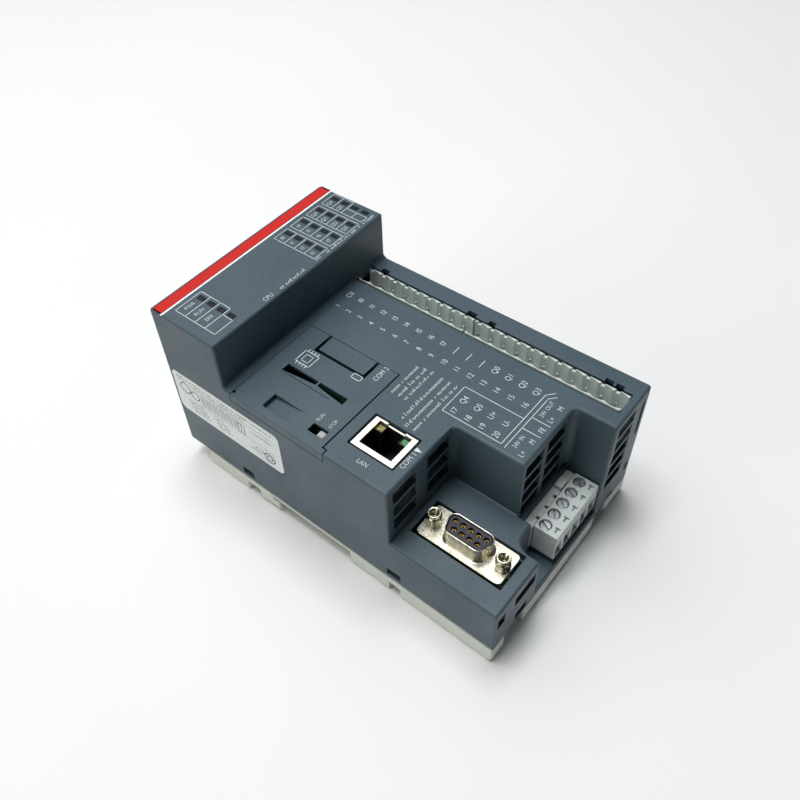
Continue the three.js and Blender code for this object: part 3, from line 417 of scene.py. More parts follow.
# The second tone of each lens is the colour of its painted glint.
YELLOW_LENS = tinted_lens("yellow_lens", tone(120, 110, 20), tone(226, 214, 96))
GREEN_LENS = tinted_lens("green_lens", tone(12, 96, 46), tone(84, 190, 116))
TIN = metal("tinned_shell", tone(226, 222, 206), tone(158, 152, 134), 0.27)
ZINC = metal("plated_jackscrew", tone(230, 226, 206), tone(168, 162, 138), 0.2, (1, 1, 0.2))
STEEL = metal("screw_steel", tone(196, 200, 202), tone(132, 138, 142), 0.3)
BRIGHT = metal("jack_shield_metal", tone(250, 248, 236), tone(226, 222, 206), 0.34, (0.2, 1, 1))
GOLD = metal("contact_gold", tone(236, 196, 96), tone(190, 146, 60), 0.22)
BOARD = printed_circuit()
SLEEVE = capacitor_sleeve()
WINDING = copper_winding()
PALE_INK = printing_ink("pale_ink", tone(222, 230, 234), tone(176, 188, 195))
WHITE_INK = printing_ink("white_ink", tone(246, 247, 247), tone(232, 234, 234))
LABEL_INK = printing_ink("label_ink", tone(62, 68, 72), tone(110, 118, 122))


# ---------- mesh helpers ----------


def new_piece(name, bm, body, material):
    """Turns a bmesh into a piece that rides on a body."""
    mesh = bpy.data.meshes.new(name)
    bm.normal_update()
    bm.to_mesh(mesh)
    bm.free()
    mesh.materials.append(material)
    piece = bpy.data.objects.new(name, mesh)
    scene.collection.objects.link(piece)
    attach(piece, body)
    return piece


def loft_into(bm, rings, closed_profile=True):
    """Skins equal rings of points, each ring joined to the next, and the last to the first."""
    made = [[bm.verts.new(p) for p in ring] for ring in rings]
    pairs = list(zip(made, made[1:]))
    if closed_profile:
        pairs.append((made[-1], made[0]))
    for one, two in pairs:
        for i in range(len(one)):
            j = (i + 1) % len(one)
            bm.faces.new((one[i], one[j], two[j], two[i]))
    return made


def circle_points(radius, count):
    angles = [2 * math.pi * i / count for i in range(count)]
    return [(radius * math.cos(angle), radius * math.sin(angle)) for angle in angles]


def tube_into(bm, path, radius, sides=10):
    """A round wire along a list of points, closed at both ends."""
    rings = []
    for i, point in enumerate(path):
        ahead = path[min(i + 1, len(path) - 1)]
        behind = path[max(i - 1, 0)]
        turn = (ahead - behind).to_track_quat("Z", "Y").to_matrix()
        rings.append([point + turn @ Vector((x, y, 0)) for x, y in circle_points(radius, sides)])
    made = loft_into(bm, rings, closed_profile=False)
    bm.faces.new(reversed(made[0]))
    bm.faces.new(made[-1])


def shade_group():
    """A geometry node group that shades smooth and keeps edges over 32 degrees sharp."""
    group = bpy.data.node_groups.new("smooth_by_angle", "GeometryNodeTree")
    group.interface.new_socket("Geometry", in_out="INPUT", socket_type="NodeSocketGeometry")
    group.interface.new_socket("Geometry", in_out="OUTPUT", socket_type="NodeSocketGeometry")
    start = group.nodes.new("NodeGroupInput")
    end = group.nodes.new("NodeGroupOutput")
    faces = group.nodes.new("GeometryNodeSetShadeSmooth")
    edges = group.nodes.new("GeometryNodeSetShadeSmooth")
    edges.domain = "EDGE"
    edges.inputs["Shade Smooth"].default_value = False
    angle = group.nodes.new("GeometryNodeInputMeshEdgeAngle")
    compare = group.nodes.new("FunctionNodeCompare")
    compare.operation = "GREATER_THAN"
    compare.inputs[1].default_value = math.radians(32)
    group.links.new(angle.outputs["Unsigned Angle"], compare.inputs[0])
    group.links.new(start.outputs[0], faces.inputs["Geometry"])
    group.links.new(faces.outputs[0], edges.inputs["Geometry"])
    group.links.new(compare.outputs[0], edges.inputs["Selection"])
    group.links.new(edges.outputs[0], end.inputs[0])
    return group


SMOOTH_BY_ANGLE = shade_group()


def soften(piece, width=0.0, segments=2):
    """Shades a piece smooth between its sharp edges, and rounds those edges where a width is given."""
    if width:
        bevel = piece.modifiers.new("round", "BEVEL")
        bevel.width = width
        bevel.segments = segments
        bevel.angle_limit = math.radians(35)
    shade = piece.modifiers.new("shade", "NODES")
    shade.node_group = SMOOTH_BY_ANGLE
    level = piece.modifiers.new("level", "WEIGHTED_NORMAL")
    level.keep_sharp = True


def tag_flat_regions(bm, tag):
    """Numbers the flat regions in a face layer. Returns each region's normal and the points of its faces."""
    normals, points = {}, {}
    for first in bm.faces:
        if first[tag]:
            continue
        number = len(normals) + 1
        first[tag] = number
        normals[number] = first.normal.copy()
        points[number] = set()
        waiting = [first]
        while waiting:
            face = waiting.pop()
            points[number].update(v.co.copy().freeze() for v in face.verts)
            for edge in face.edges:
                if edge.calc_face_angle(math.pi) < math.radians(1):
                    for neighbour in edge.link_faces:
                        if not neighbour[tag]:
                            neighbour[tag] = number
                            waiting.append(neighbour)
    return normals, points


def edge_room(edge, points, tag):
    """How far the narrower of an edge's two flat regions reaches away from it."""
    start = edge.verts[0].co
    along = (edge.verts[1].co - start).normalized()
    return min(
        max((point - start).cross(along).length for point in points[face[tag]]) for face in edge.link_faces
    )


def inside_outline(point, outline):
    """Whether a flat point has an odd number of the outline's edges to its right."""
    crossings = 0
    for a, b in outline:
        if (a.y > point.y) != (b.y > point.y):
            crossings += point.x < a.x + (point.y - a.y) * (b.x - a.x) / (b.y - a.y)
    return crossings % 2 == 1


def refill(bm, faces, normal):
    """Fills one flat region afresh inside its outline."""
    region = set(faces)
    rim = [e for f in faces for e in f.edges if sum(g in region for g in e.link_faces) == 1]
    turn = normal.rotation_difference(Vector((0, 0, 1))).to_matrix() * (1 / MM)
    verts = list({v for e in rim for v in e.verts})
    order = {v: i for i, v in enumerate(verts)}
    level = (turn @ verts[0].co).z
    flat = [(turn @ v.co).to_2d() for v in verts]
    edges = [tuple(order[v] for v in e.verts) for e in rim]
    places, _, triangles, origins, _, _ = delaunay_2d_cdt(flat, edges, [], 1, 1e-6)
    outline = [(flat[i], flat[j]) for i, j in edges]
    bmesh.ops.delete(bm, geom=faces, context="FACES_KEEP_BOUNDARY")
    back = turn.inverted()
    corners = []
    for place, origin in zip(places, origins):
        corners.append(verts[origin[0]] if origin else bm.verts.new(back @ Vector((*place, level))))
    for triangle in triangles:
        middle = sum((places[i] for i in triangle), Vector((0, 0))) / 3
        chosen = [corners[i] for i in triangle]
        if inside_outline(middle, outline) and len(set(chosen)) == 3 and not bm.faces.get(chosen):
            face = bm.faces.new(chosen)
            face.normal_update()
            if face.normal.dot(normal) < 0:
                face.normal_flip()


def finish_node(node, material, widest, share=0.1, segments=3, hollow=0.3):
    """A piece with a CAD node's exact form, its edges rounded by as much as the faces beside them allow.
    Inside corners get that share of an outside corner's rounding."""
    bm = bmesh.new()
    bm.from_mesh(nodes[node].data)
    bmesh.ops.remove_doubles(bm, verts=bm.verts, dist=0.001 * MM)
    tag = bm.faces.layers.int.new("region")
    normals, points = tag_flat_regions(bm, tag)
    weight = bm.edges.layers.float.new("bevel_weight_edge")
    for edge in bm.edges:
        if edge.calc_face_angle(0) > math.radians(25):
            fitting = min(1.0, share * edge_room(edge, points, tag) / widest)
            edge[weight] = fitting if edge.is_convex else hollow * fitting
    for face in bm.faces:
        face.material_index = 0
    rough = bpy.data.meshes.new("rough")
    bm.to_mesh(rough)
    bm.free()
    for _ in range(2):
        rough.materials.append(None)
    holder = bpy.data.objects.new("rough", rough)
    scene.collection.objects.link(holder)
    bevel = holder.modifiers.new("round", "BEVEL")
    bevel.width = widest
    bevel.segments = segments
    bevel.limit_method = "WEIGHT"
    bevel.use_clamp_overlap = False
    bevel.loop_slide = False
    bevel.material = 1
    bpy.context.view_layer.update()
    rounded = bpy.data.meshes.new_from_object(holder.evaluated_get(bpy.context.evaluated_depsgraph_get()))
    bm = bmesh.new()
    bm.from_mesh(rounded)
    bpy.data.objects.remove(holder)
    bpy.data.meshes.remove(rough)
    bpy.data.meshes.remove(rounded)
    tag = bm.faces.layers.int["region"]
    regions = {}
    for face in bm.faces:
        if face.material_index == 0:
            regions.setdefault(face[tag], []).append(face)
    for number, faces in regions.items():
        if len(faces) > 1:
            refill(bm, faces, normals[number])
    inner = [e for e in bm.edges if all(f.material_index == 0 for f in e.link_faces)]
    bmesh.ops.dissolve_limit(bm, angle_limit=math.radians(0.5), verts=[], edges=inner)
    for face in bm.faces:
        face.material_index = 0
    piece = new_piece(f"{node}_finished", bm, nodes[node]["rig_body"], material)
    soften(piece)
    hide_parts(node)
    return piece


# ---------- the module's shells ----------


def finish_shells():
    finish_node("front_housing", SLATE, 0.9 * MM)
    finish_node("option_cover", SLATE, 0.6 * MM)
    finish_node("com2_lid", SLATE, 0.3 * MM)
    finish_node("base_plate", BASE_GREY, 0.7 * MM)
    finish_node("din_latch", BASE_GREY, 0.5 * MM)
    finish_node("power_plug_body", TERMINAL_GREY, 0.3 * MM)
    finish_node("power_header", TERMINAL_GREY, 0.25 * MM)
    finish_node("io_header_9_pole", TERMINAL_GREY, 0.25 * MM)
    finish_node("io_header_11_pole", TERMINAL_GREY, 0.25 * MM)


# ---------- smaller parts ----------


def finish_small_parts():
    finish_node("stripe_insert", RED, 0.12 * MM)
    finish_node("rating_label", LABEL, 0.05 * MM)
    for node in ("status_light_pipe", *(f"signal_light_pipe_{n}" for n in range(1, 5))):
        finish_node(node, SMOKED, 0.15 * MM)
    for node in ("mode_switch_body", "card_socket", "option_socket", "bus_socket"):
        finish_node(node, BLACK, 0.15 * MM)
    for node in ("display_link", "board_link_left", "board_link_right"):
        finish_node(node, BLACK, 0.2 * MM)
    for node in ("processor_chip", "ethernet_magnetics", "power_transformer"):
        finish_node(node, BLACK, 0.15 * MM)
    finish_node("mode_switch_slider", SHADED_SWITCH_WHITE, 0.3 * MM, 0.15)
    finish_node("dsub_insulator", INSULATOR, 0.15 * MM)
    finish_node("ethernet_shield", BRIGHT, 0.15 * MM)
    finish_node("ethernet_insert", BLACK, 0.12 * MM)
    finish_node("ethernet_contacts", GOLD, 0.05 * MM)
    finish_node("ethernet_light_yellow", YELLOW_LENS, 0.2 * MM)
    finish_node("ethernet_light_green", GREEN_LENS, 0.2 * MM)
    for node in ("lower_board", "upper_board", "display_board"):
        finish_node(node, BOARD, 0.05 * MM)
    for node in ("capacitor_1", "capacitor_2"):
        finish_node(node, SLEEVE, 0.3 * MM)
    finish_node("power_inductor", WINDING, 0.3 * MM)
    for n in range(1, 6):
        finish_node(f"power_plug_screw_{n}", STEEL, 0.12 * MM)
        finish_node(f"power_plug_clamp_{n}", TIN, 0.15 * MM)


# ---------- header pins ----------


def pin_into(bm, base, tip, half):
    """A square pin from base to tip, with its last 0.6 mm drawn to a blunt point."""
    axis = (tip - base).normalized()
    turn = axis.to_track_quat("Z", "Y").to_matrix()
    shoulder = tip - axis * 0.6 * MM
    corners = [Vector((x, y, 0)) for x, y in ((-half, -half), (half, -half), (half, half), (-half, half))]
    stations = ((base, 1), (shoulder, 1), (tip, 0.45))
    rings = [[place + turn @ (c * scale) for c in corners] for place, scale in stations]
    made = loft_into(bm, rings, closed_profile=False)
    bm.faces.new(reversed(made[0]))
    bm.faces.new(made[-1])


def build_pins():
    for poles in (9, 11):
        low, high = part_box(f"io_header_{poles}_pole")
        first = high.y - POLE / 2 if poles == 11 else high.y - 2.1 * MM
        bm = bmesh.new()
        for n in range(poles):
            base = Vector((30 * MM, first - n * POLE, low.z + 5 * MM))
            pin_into(bm, base, base + Vector((0, 0, 7.6 * MM)), 0.5 * MM)
        pins = new_piece(f"io_header_{poles}_pins", bm, "housing", TIN)
        soften(pins, 0.08 * MM)
    low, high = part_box("power_header")
    bm = bmesh.new()
    for n in range(5):
        x = plug_low.x + POLE * (n + 0.5)
        base = Vector((x, high.y - 2.3 * MM, 19 * MM))
        pin_into(bm, base, base + Vector((0, -5.5 * MM, 0)), 0.5 * MM)
    pins = new_piece("power_header_pins", bm, "housing", TIN)
    soften(pins, 0.08 * MM)


# ---------- D-sub socket ----------


def d_ring(centre, half_depth, half_long, radius, z, count=96):
    """Points round a D outline at equal steps, its long side towards +X."""
    tilt = math.radians(10)
    slope = math.tan(tilt)
    half_short = half_long - 2 * half_depth * slope
    right = centre.x + half_depth - radius
    left = centre.x - half_depth + radius
    long_y = half_long - radius - radius * slope / 2
    short_y = half_short - radius + radius * slope / 2
    arcs = [
        (right, centre.y + long_y, 0, math.pi / 2 + tilt),
        (left, centre.y + short_y, math.pi / 2 + tilt, math.pi),
        (left, centre.y - short_y, math.pi, 1.5 * math.pi - tilt),
        (right, centre.y - long_y, 1.5 * math.pi - tilt, 2 * math.pi),
    ]
    outline = []
    for x, y, start, end in arcs:
        for step in range(13):
            angle = start + (end - start) * step / 12
            outline.append(Vector((x + radius * math.cos(angle), y + radius * math.sin(angle), z)))
    return even_steps(outline, count)


def rounded_rectangle(centre, half_x, half_y, radius, z, count=96):
    outline = []
    corners = ((1, 1, 0), (-1, 1, 0.5), (-1, -1, 1), (1, -1, 1.5))
    for side_x, side_y, turn in corners:
        for step in range(9):
            angle = math.pi * (turn + step / 16)
            x = centre.x + side_x * (half_x - radius) + radius * math.cos(angle)
            y = centre.y + side_y * (half_y - radius) + radius * math.sin(angle)
            outline.append(Vector((x, y, z)))
    return even_steps(outline, count)


def even_steps(outline, count):
    """Points at equal distances round a closed outline, from where it crosses +X of its middle."""
    closed = outline + outline[:1]
    lengths = [(b - a).length for a, b in zip(closed, closed[1:])]
    total = sum(lengths)
    middle_y = (min(p.y for p in outline) + max(p.y for p in outline)) / 2
    start = total - abs(outline[0].y - middle_y)
    points = []
    for i in range(count):
        target = (start + total * i / count) % total
        k = 0
        while k < len(lengths) - 1 and target > lengths[k]:
            target -= lengths[k]
            k += 1
        points.append(closed[k].lerp(closed[k + 1], min(1, target / max(lengths[k], 1e-12))))
    return points


def build_dsub_shell():
    """Stamped flange and drawn D collar in one skin, with a rolled lip."""
    centre = (shell_low + shell_high) / 2
    flange_half = ((shell_high.x - shell_low.x) / 2, (shell_high.y - shell_low.y) / 2)
    sheet = 0.6 * MM
    flange_top = shell_low.z + sheet
    top = shell_high.z
    half_depth, half_long, corner = 3.95 * MM, 8.165 * MM, 2.6 * MM

    def d(grow, z):
        return d_ring(centre, half_depth + grow, half_long + grow, corner + grow, z)

    def plate(shrink, z):
        return rounded_rectangle(centre, flange_half[0] - shrink, flange_half[1] - shrink, 1.3 * MM, z)

    root = [
        (0.9 * (1 - math.sin(a)) * MM, flange_top + 0.9 * (1 - math.cos(a)) * MM)
        for a in (math.radians(t) for t in range(0, 91, 18))
    ]
    lip = [
        ((-0.25 + 0.25 * math.cos(a)) * MM, top - 0.25 * MM + 0.25 * math.sin(a) * MM)
        for a in (math.radians(t) for t in range(0, 181, 30))
    ]
    rings = [plate(0.12 * MM, flange_top), plate(0, flange_top - 0.12 * MM), plate(0, shell_low.z)]
    rings += [d(-0.5 * MM, shell_low.z)]
    rings += [d(grow, z) for grow, z in reversed(lip)]
    rings += [d(grow, z) for grow, z in reversed(root)]
    bm = bmesh.new()
    loft_into(bm, rings)
    bmesh.ops.recalc_face_normals(bm, faces=bm.faces)
    piece = new_piece("dsub_shell_formed", bm, "housing", TIN)
    soften(piece)
    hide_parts("dsub_shell")


def build_dsub_contacts():
    """A spring socket down each hole of the insulator."""
    centre = (shell_low + shell_high) / 2
    pitch, row_gap = 2.77 * MM, 2.84 * MM
    top = shell_high.z - 1.2 * MM
    bm = bmesh.new()
    for side, count in ((0.5, 5), (-0.5, 4)):
        for n in range(count):
            x = centre.x + side * row_gap
            y = centre.y + (n - (count - 1) / 2) * pitch
            levels = ((0.56, top - 2.5 * MM), (0.56, top), (0.42, top), (0.42, top - 2.5 * MM))
            rings = []
            for radius, z in levels:
                rings.append([Vector((x + px, y + py, z)) for px, py in circle_points(radius * MM, 16)])
            loft_into(bm, rings)
    bmesh.ops.recalc_face_normals(bm, faces=bm.faces)
    piece = new_piece("dsub_contacts", bm, "housing", GOLD)
    soften(piece)


def build_jackscrews():
    """Hexagonal standoffs with a round threaded mouth."""
    count = 60
    for n in (1, 2):
        low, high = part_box(f"dsub_jackscrew_{n}")
        centre = (low + high) / 2
        foot = shell_low.z + 0.65 * MM
        shoulder = foot + 3.5 * MM
        across = 2.36 * MM

        def ring(radius, z, hexagonal=0.0):
            points = []
            for i in range(count):
                angle = 2 * math.pi * i / count
                off_flat = (angle + math.pi / 6) % (math.pi / 3) - math.pi / 6
                flat = min(across / math.cos(off_flat), across * 1.12)
                r = radius * (1 - hexagonal) + flat * hexagonal
                points.append(Vector((centre.x + r * math.cos(angle), centre.y + r * math.sin(angle), z)))
            return points

        rings = [ring(1.5 * MM, foot), ring(2.3 * MM, foot), ring(0, foot + 0.2 * MM, 1)]
        rings += [ring(0, shoulder - 0.25 * MM, 1), ring(2.25 * MM, shoulder)]
        rings += [ring(2.05 * MM, shoulder + 0.15 * MM), ring(2.15 * MM, shoulder + 0.4 * MM)]
        rings += [ring(2.15 * MM, high.z - 0.25 * MM), ring(2.0 * MM, high.z - 0.03 * MM)]
        rings += [ring(1.85 * MM, high.z)]
        rings += [ring(1.6 * MM, high.z - 0.05 * MM)]
        thread_steps = 9
        for k in range(thread_steps):
            z = high.z - 0.35 * MM - k * 0.4 * MM
            rings += [ring(1.42 * MM, z), ring(1.22 * MM, z - 0.2 * MM)]
        bm = bmesh.new()
        loft_into(bm, rings)
        bmesh.ops.recalc_face_normals(bm, faces=bm.faces)
        piece = new_piece(f"dsub_jackscrew_{n}_turned", bm, "housing", ZINC)
        soften(piece)
        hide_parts(f"dsub_jackscrew_{n}")


# ---------- latch spring ----------


def build_latch_spring():
    """Coil spring with closed end turns."""
    wire = 0.32 * MM
    centre = (spring_low + spring_high) / 2
    radius = (spring_high.x - spring_low.x) / 2 - wire
    start, end = spring_low.y + wire, spring_high.y - wire
    turns, per_turn = 9, 24
    end_pitch = 0.35  # of the closed end turns, as a share of an even pitch
    path = []
    for i in range(turns * per_turn + 1):
        share = i / (turns * per_turn)
        closed = 1.0 / turns
        if share < closed:
            along = share * end_pitch
        elif share > 1 - closed:
            along = 1 - (1 - share) * end_pitch
        else:
            span = (share - closed) / (1 - 2 * closed)
            along = closed * end_pitch + span * (1 - 2 * closed * end_pitch)
        angle = 2 * math.pi * turns * share
        x = centre.x + radius * math.cos(angle)
        z = centre.z + radius * math.sin(angle)
        path.append(Vector((x, start + along * (end - start), z)))
    bm = bmesh.new()
    tube_into(bm, path, wire, 8)
    bmesh.ops.recalc_face_normals(bm, faces=bm.faces)
    piece = new_piece("latch_spring_coil", bm, "housing", STEEL)
    soften(piece)
    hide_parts("latch_spring")
    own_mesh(piece)


# ---------- printing ----------


def text_into(bm, text, place, height, width_scale=0.85, turn=0.0, anchor="CENTER", weight=-0.03 * MM):
    """Adds lettering whose capitals are that high, lying on the XY plane at a point."""
    curve = bpy.data.curves.new("lettering", "FONT")
    curve.body = text
    curve.align_x = anchor
    curve.align_y = "CENTER"
    curve.size = height / 0.72
    curve.offset = weight
    curve.extrude = INK / 2
    curve.resolution_u = 3
    holder = bpy.data.objects.new("lettering", curve)
    scene.collection.objects.link(holder)
    bpy.context.view_layer.update()
    mesh = bpy.data.meshes.new_from_object(holder.evaluated_get(bpy.context.evaluated_depsgraph_get()))
    stretch = Matrix.Diagonal((width_scale, 1, 1, 1))
    mesh.transform(Matrix.Translation(place) @ Matrix.Rotation(turn, 4, "Z") @ stretch)
    bm.from_mesh(mesh)
    bpy.data.objects.remove(holder)
    bpy.data.meshes.remove(mesh)
    bpy.data.curves.remove(curve)


def line_into(bm, start, end, z, width=0.22 * MM):
    """A printed line between two (x, y) points."""
    a, b = Vector((*start, z)), Vector((*end, z))
    along = (b - a).normalized()
    turn = Matrix((along, Vector((0, 0, 1)).cross(along), Vector((0, 0, 1)))).transposed().to_4x4()
    size = Matrix.Diagonal(((b - a).length + width, width, INK, 1))
    bmesh.ops.create_cube(bm, size=1, matrix=Matrix.Translation((a + b) / 2) @ turn @ size)


def path_into(bm, points, z, width=0.22 * MM, closed=False):
    ends = points[1:] + (points[:1] if closed else [])
    for start, end in zip(points, ends):
        line_into(bm, start, end, z, width)


def mm(*pairs):
    """Points given in millimetres."""
    return [(x * MM, y * MM) for x, y in pairs]


def micro_line_into(bm, start_x, end_x, y, z, height, seed):
    """A row of tiny meaningless strokes that reads as small print."""
    x = start_x
    step = 0
    advance = height * 0.72
    stroke = height * 0.16
    while x + advance < end_x:
        kind = (seed * 7 + step * 5 + (step * step) % 11) % 6
        left, right, foot, head = x, x + advance * 0.62, y - height / 2, y + height / 2
        if kind == 0:
            line_into(bm, (left, foot), (left, head), z, stroke)
        elif kind == 1:
            path_into(bm, [(left, foot), (left, y), (right, y), (right, foot)], z, stroke)
        elif kind == 2:
            path_into(bm, [(left, foot), (left, y), (right, y), (right, foot)], z, stroke, closed=True)
        elif kind == 3:
            path_into(bm, [(right, y), (left, y), (left, foot), (right, foot)], z, stroke)
        elif kind == 4:
            line_into(bm, (left, foot), (right, y), z, stroke)
        x += advance
        step += 1


def print_deck():
    """Terminal numbers, signal names, supply terminals and the small print beside the jack."""
    z = DECK_Z + INK / 2
    bm = bmesh.new()
    height = 2.1 * MM
    for n in range(16):
        y = (34.4 - 5.04 * n) * MM
        text_into(bm, str(n + 1), Vector((10.7 * MM, y, z)), height)
        if n < 9:
            text_into(bm, "C0" if n == 0 else f"I{n - 1}", Vector((17.4 * MM, y, z)), height)
        elif n < 12:
            line_into(bm, (15.6 * MM, y), (18.9 * MM, y), z)
        else:
            text_into(bm, f"Q{n - 12}", Vector((17.6 * MM, y, z)), height)
    for n, name in enumerate(("Q4", "Q5", "U+", "U-")):
        y = (-25.4 - 5.1 * n) * MM
        text_into(bm, str(n + 17), Vector((-3.9 * MM, y, z)), height)
        text_into(bm, name, Vector((1.5 * MM, y, z)), height)
    path_into(bm, mm((6.1, -43.5), (6.1, -22.3), (-5.9, -22.3), (-5.9, -43.6)), z)
    path_into(bm, mm((-5.9, -43.6), (18, -43.9), (20.4, -46)), z)
    path_into(bm, mm((-6.4, -45.1), (17.2, -45.4), (19.2, -47.2)), z)
    path_into(bm, mm((8, -45.3), (8, -51.6)), z)
    path_into(bm, mm((2.8, -45.2), (2.8, -51.4)), z)
    text_into(bm, "24V IN", Vector((-2.2 * MM, -47.3 * MM, z)), 1.55 * MM)
    text_into(bm, "24V OUT", Vector((13.3 * MM, -47.3 * MM, z)), 1.55 * MM)
    for name, x in (("L+", -5.4), ("M", 0.1), ("FE", 5.5), ("L+", 10.5), ("M", 16)):
        text_into(bm, name, Vector((x * MM, -50.5 * MM, z)), 1.9 * MM)
    text_into(bm, "COM 1", Vector((-27.3 * MM, -25.9 * MM, z)), 1.9 * MM)
    arrow = mm((-23.5, -25), (-22.7, -27.4), (-21.9, -25))
    bm.faces.new([bm.verts.new((x, y, z + INK / 2)) for x, y in arrow])
    text_into(bm, "LAN", Vector((-36.2 * MM, -15.9 * MM, z)), 1.7 * MM, turn=-math.pi / 2)
    for row, y in enumerate((-5.3, -7.9, -10.4)):
        micro_line_into(bm, -9.4 * MM, 5.7 * MM, y * MM, z, 1.15 * MM, row + 1)
    for row, y in enumerate((-14.4, -17.3, -20.0)):
        micro_line_into(bm, -17.4 * MM, 5.6 * MM, y * MM, z, 1.15 * MM, row + 5)
    new_piece("deck_printing", bm, "housing", PALE_INK)


def ring_into(bm, x, y, radius, z, width, count=40):
    points = [(x + px, y + py) for px, py in circle_points(radius, count)]
    path_into(bm, points, z, width, closed=True)


def print_cover():
    z = DECK_Z + INK / 2
    bm = bmesh.new()
    text_into(bm, "RUN", Vector((-30.6 * MM, 5.3 * MM, z)), 1.35 * MM)
    text_into(bm, "STOP", Vector((-30.4 * MM, 0.4 * MM, z)), 1.35 * MM)
    text_into(bm, "COM 2", Vector((-5.5 * MM, 1.9 * MM, z)), 1.9 * MM)
    path_into(bm, mm((-12.2, 5.5), (-10.2, 5.5), (-10.2, 9), (-12.2, 9)), z, 0.25 * MM, closed=True)
    chip = mm((-17.4, 22.6), (-12, 22.6), (-12, 28.4), (-17.4, 28.4))
    path_into(bm, chip, z, 0.28 * MM, closed=True)
    for k in range(4):
        y = (23.6 + 1.3 * k) * MM
        line_into(bm, (-18.4 * MM, y), (-17.6 * MM, y), z, 0.28 * MM)
        line_into(bm, (-11.8 * MM, y), (-11.0 * MM, y), z, 0.28 * MM)
    path_into(bm, mm((-16.2, 24.1), (-13.2, 24.1), (-13.2, 26.9), (-16.2, 26.9)), z, 0.22 * MM, closed=True)
    new_piece("cover_printing", bm, "cover", PALE_INK)


WINDOW_DEPTH = 2.8 * MM  # along Y, of one finger of a light pipe


def print_tall_block():
    z = TOP_Z + INK / 2
    bm = bmesh.new()
    status_low, status_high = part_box("status_light_pipe")
    status_x = (status_low.x + status_high.x) / 2
    rows = 4
    pitch = (status_high.y - status_low.y - WINDOW_DEPTH) / (rows - 1)
    top = status_high.y + 1.2 * MM
    left = status_x - 9 * MM
    right = status_x + 2.1 * MM
    levels = [top - pitch * k for k in range(rows + 1)]
    corners = [(left, levels[0]), (right, levels[0]), (right, levels[3]), (left, levels[3])]
    path_into(bm, corners, z, closed=True)
    for level in levels[1:3]:
        line_into(bm, (left, level), (right, level), z)
    path_into(bm, [(left, levels[3]), (left, levels[4]), (status_x - 1.3 * MM, levels[4])], z)
    line_into(bm, (status_x - 1.3 * MM, levels[4]), (status_x - 1.3 * MM, levels[3]), z)
    for row, name in enumerate(("PWR", "RUN", "ERR")):
        text_into(bm, name, Vector((left + 4.1 * MM, levels[row] - pitch / 2, z)), 1.55 * MM)
    names = [[f"I{k}" for k in range(4)], [f"I{k}" for k in range(4, 8)]]
    names += [[f"Q{k}" for k in range(4)], ["Q4", "Q5", "", ""]]
    for column in range(4):
        low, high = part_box(f"signal_light_pipe_{column + 1}")
        x = (low.x + high.x) / 2
        step = (high.y - low.y - WINDOW_DEPTH) / (rows - 1)
        head = high.y + 0.8 * MM
        left, right = x - 5 * MM, x + (1.7 if column < 3 else 2.1) * MM
        cells = rows if column < 3 else 2
        levels = [head - step * k for k in range(rows + 1)]
        corners = [(left, levels[0]), (right, levels[0]), (right, levels[cells]), (left, levels[cells])]
        path_into(bm, corners, z, 0.2 * MM, closed=True)
        for level in levels[1:cells]:
            line_into(bm, (left, level), (right, level), z, 0.2 * MM)
        if column == 3:
            edge = x - 2 * MM
            blank = [(left, levels[2]), (left, levels[4]), (edge, levels[4]), (edge, levels[2])]
            path_into(bm, blank, z, 0.2 * MM)
            line_into(bm, (left, levels[3]), (edge, levels[3]), z, 0.2 * MM)
        for row, name in enumerate(names[column]):
            if name:
                text_into(bm, name, Vector((x - 3.1 * MM, levels[row] - step / 2, z)), 1.7 * MM)
    text_into(bm, "CPU", Vector((-14.4 * MM, 40 * MM, z)), 1.8 * MM)
    micro_line_into(bm, -9 * MM, 3.5 * MM, 40 * MM, z, 1.2 * MM, 3)
    text_into(bm, "24V", Vector((9.4 * MM, 40 * MM, z)), 1.4 * MM)
    micro_line_into(bm, 13.5 * MM, 39 * MM, 40 * MM, z, 1.1 * MM, 9)
    new_piece("tall_block_printing", bm, "housing", PALE_INK)
    bm = bmesh.new()
    y = stripe_low.y - 0.55 * MM
    line_into(bm, (stripe_low.x, y), (stripe_high.x, y), z, 0.7 * MM)
    new_piece("stripe_border", bm, "housing", WHITE_INK)


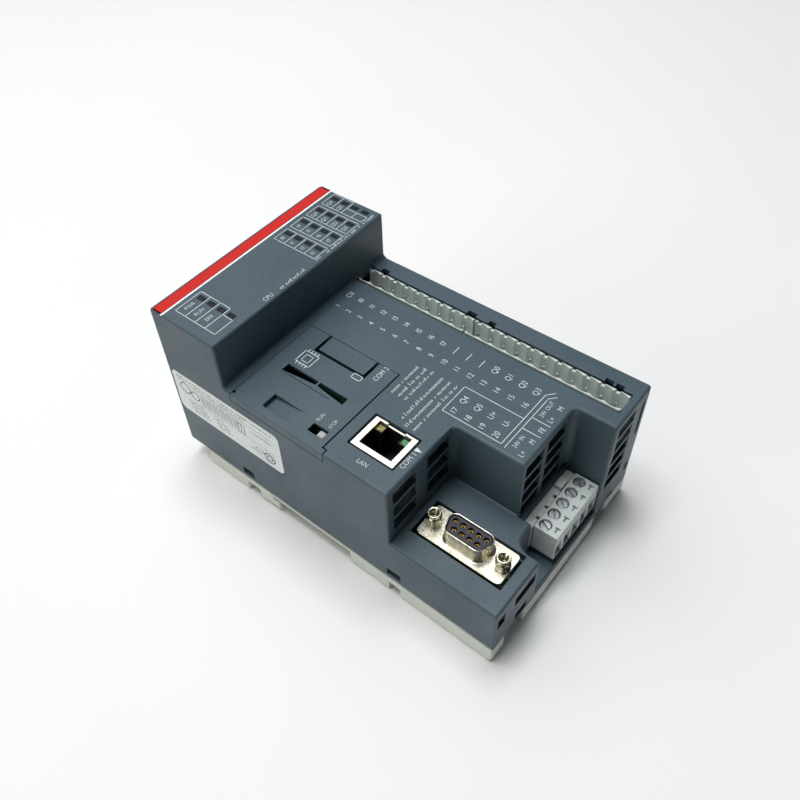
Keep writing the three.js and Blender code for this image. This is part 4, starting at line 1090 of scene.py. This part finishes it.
def print_label():
    """Small print, bars and plain rings on the rating label, laid out flat and then stood up on the side."""
    length = label_high.y - label_low.y
    tall = label_high.z - label_low.z
    bm = bmesh.new()
    micro_line_into(bm, 2.2 * MM, length - 2.4 * MM, tall - 1.8 * MM, 0, 0.8 * MM, 2)
    micro_line_into(bm, 2.2 * MM, length - 16 * MM, tall - 3.3 * MM, 0, 0.7 * MM, 4)
    line_into(bm, (9 * MM, tall - 4.6 * MM), (length - 4 * MM, tall - 4.6 * MM), 0, 0.12 * MM)
    line_into(bm, (12 * MM, tall * 0.42), (length - 2.5 * MM, tall * 0.42), 0, 0.12 * MM)
    for k in range(34):
        x = (13 + 0.55 * k + 0.2 * (k % 3)) * MM
        line_into(bm, (x, tall * 0.47), (x, tall * 0.72), 0, (0.1 + 0.08 * (k % 2)) * MM)
    ring_into(bm, 5.5 * MM, tall * 0.66, 2.4 * MM, 0, 0.35 * MM)
    ring_into(bm, 10.2 * MM, tall * 0.6, 1.9 * MM, 0, 0.35 * MM)
    for row in range(4):
        y = tall * (0.36 - 0.075 * row)
        micro_line_into(bm, (4.5 + row) * MM, (13.5 + row) * MM, y, 0, 0.75 * MM, row + 11)
        micro_line_into(bm, (17 + row) * MM, (24 + row) * MM, y, 0, 0.75 * MM, row + 17)
    path_into(bm, mm((31, 9), (34, 9), (34, 13.5), (31, 13.5)), 0, 0.3 * MM, closed=True)
    line_into(bm, (32.5 * MM, 9.5 * MM), (32.5 * MM, 13 * MM), 0, 0.3 * MM)
    micro_line_into(bm, 36 * MM, length - 3 * MM, tall * 0.66, 0, 0.8 * MM, 23)
    micro_line_into(bm, 36 * MM, 43.5 * MM, tall * 0.3, 0, 1.5 * MM, 29)
    line_into(bm, (35.5 * MM, tall * 0.2), (41 * MM, tall * 0.2), 0, 0.3 * MM)
    ring_into(bm, length - 6 * MM, tall * 0.22, 2.3 * MM, 0, 0.4 * MM)
    ring_into(bm, length - 6 * MM, tall * 0.22, 1.2 * MM, 0, 0.35 * MM)
    stand = Matrix(((0, 0, -1), (-1, 0, 0), (0, 1, 0))).to_4x4()
    corner = Vector((label_low.x - INK / 2, label_high.y, label_low.z))
    bmesh.ops.transform(bm, matrix=Matrix.Translation(corner) @ stand, verts=bm.verts)
    bmesh.ops.recalc_face_normals(bm, faces=bm.faces)
    new_piece("label_printing", bm, "housing", LABEL_INK)


# ---------- floor ----------


def build_floor():
    bm = bmesh.new()
    bmesh.ops.create_grid(bm, x_segments=1, y_segments=1, size=3)
    mesh = bpy.data.meshes.new("floor")
    bm.to_mesh(mesh)
    bm.free()
    mesh.materials.append(pale_floor())
    floor = bpy.data.objects.new("floor", mesh)
    scene.collection.objects.link(floor)


add_camera()
add_lights()
build_floor()
finish_shells()
finish_small_parts()
build_pins()
build_dsub_shell()
build_dsub_contacts()
build_jackscrews()
build_latch_spring()
print_deck()
print_cover()
print_tall_block()
print_label()
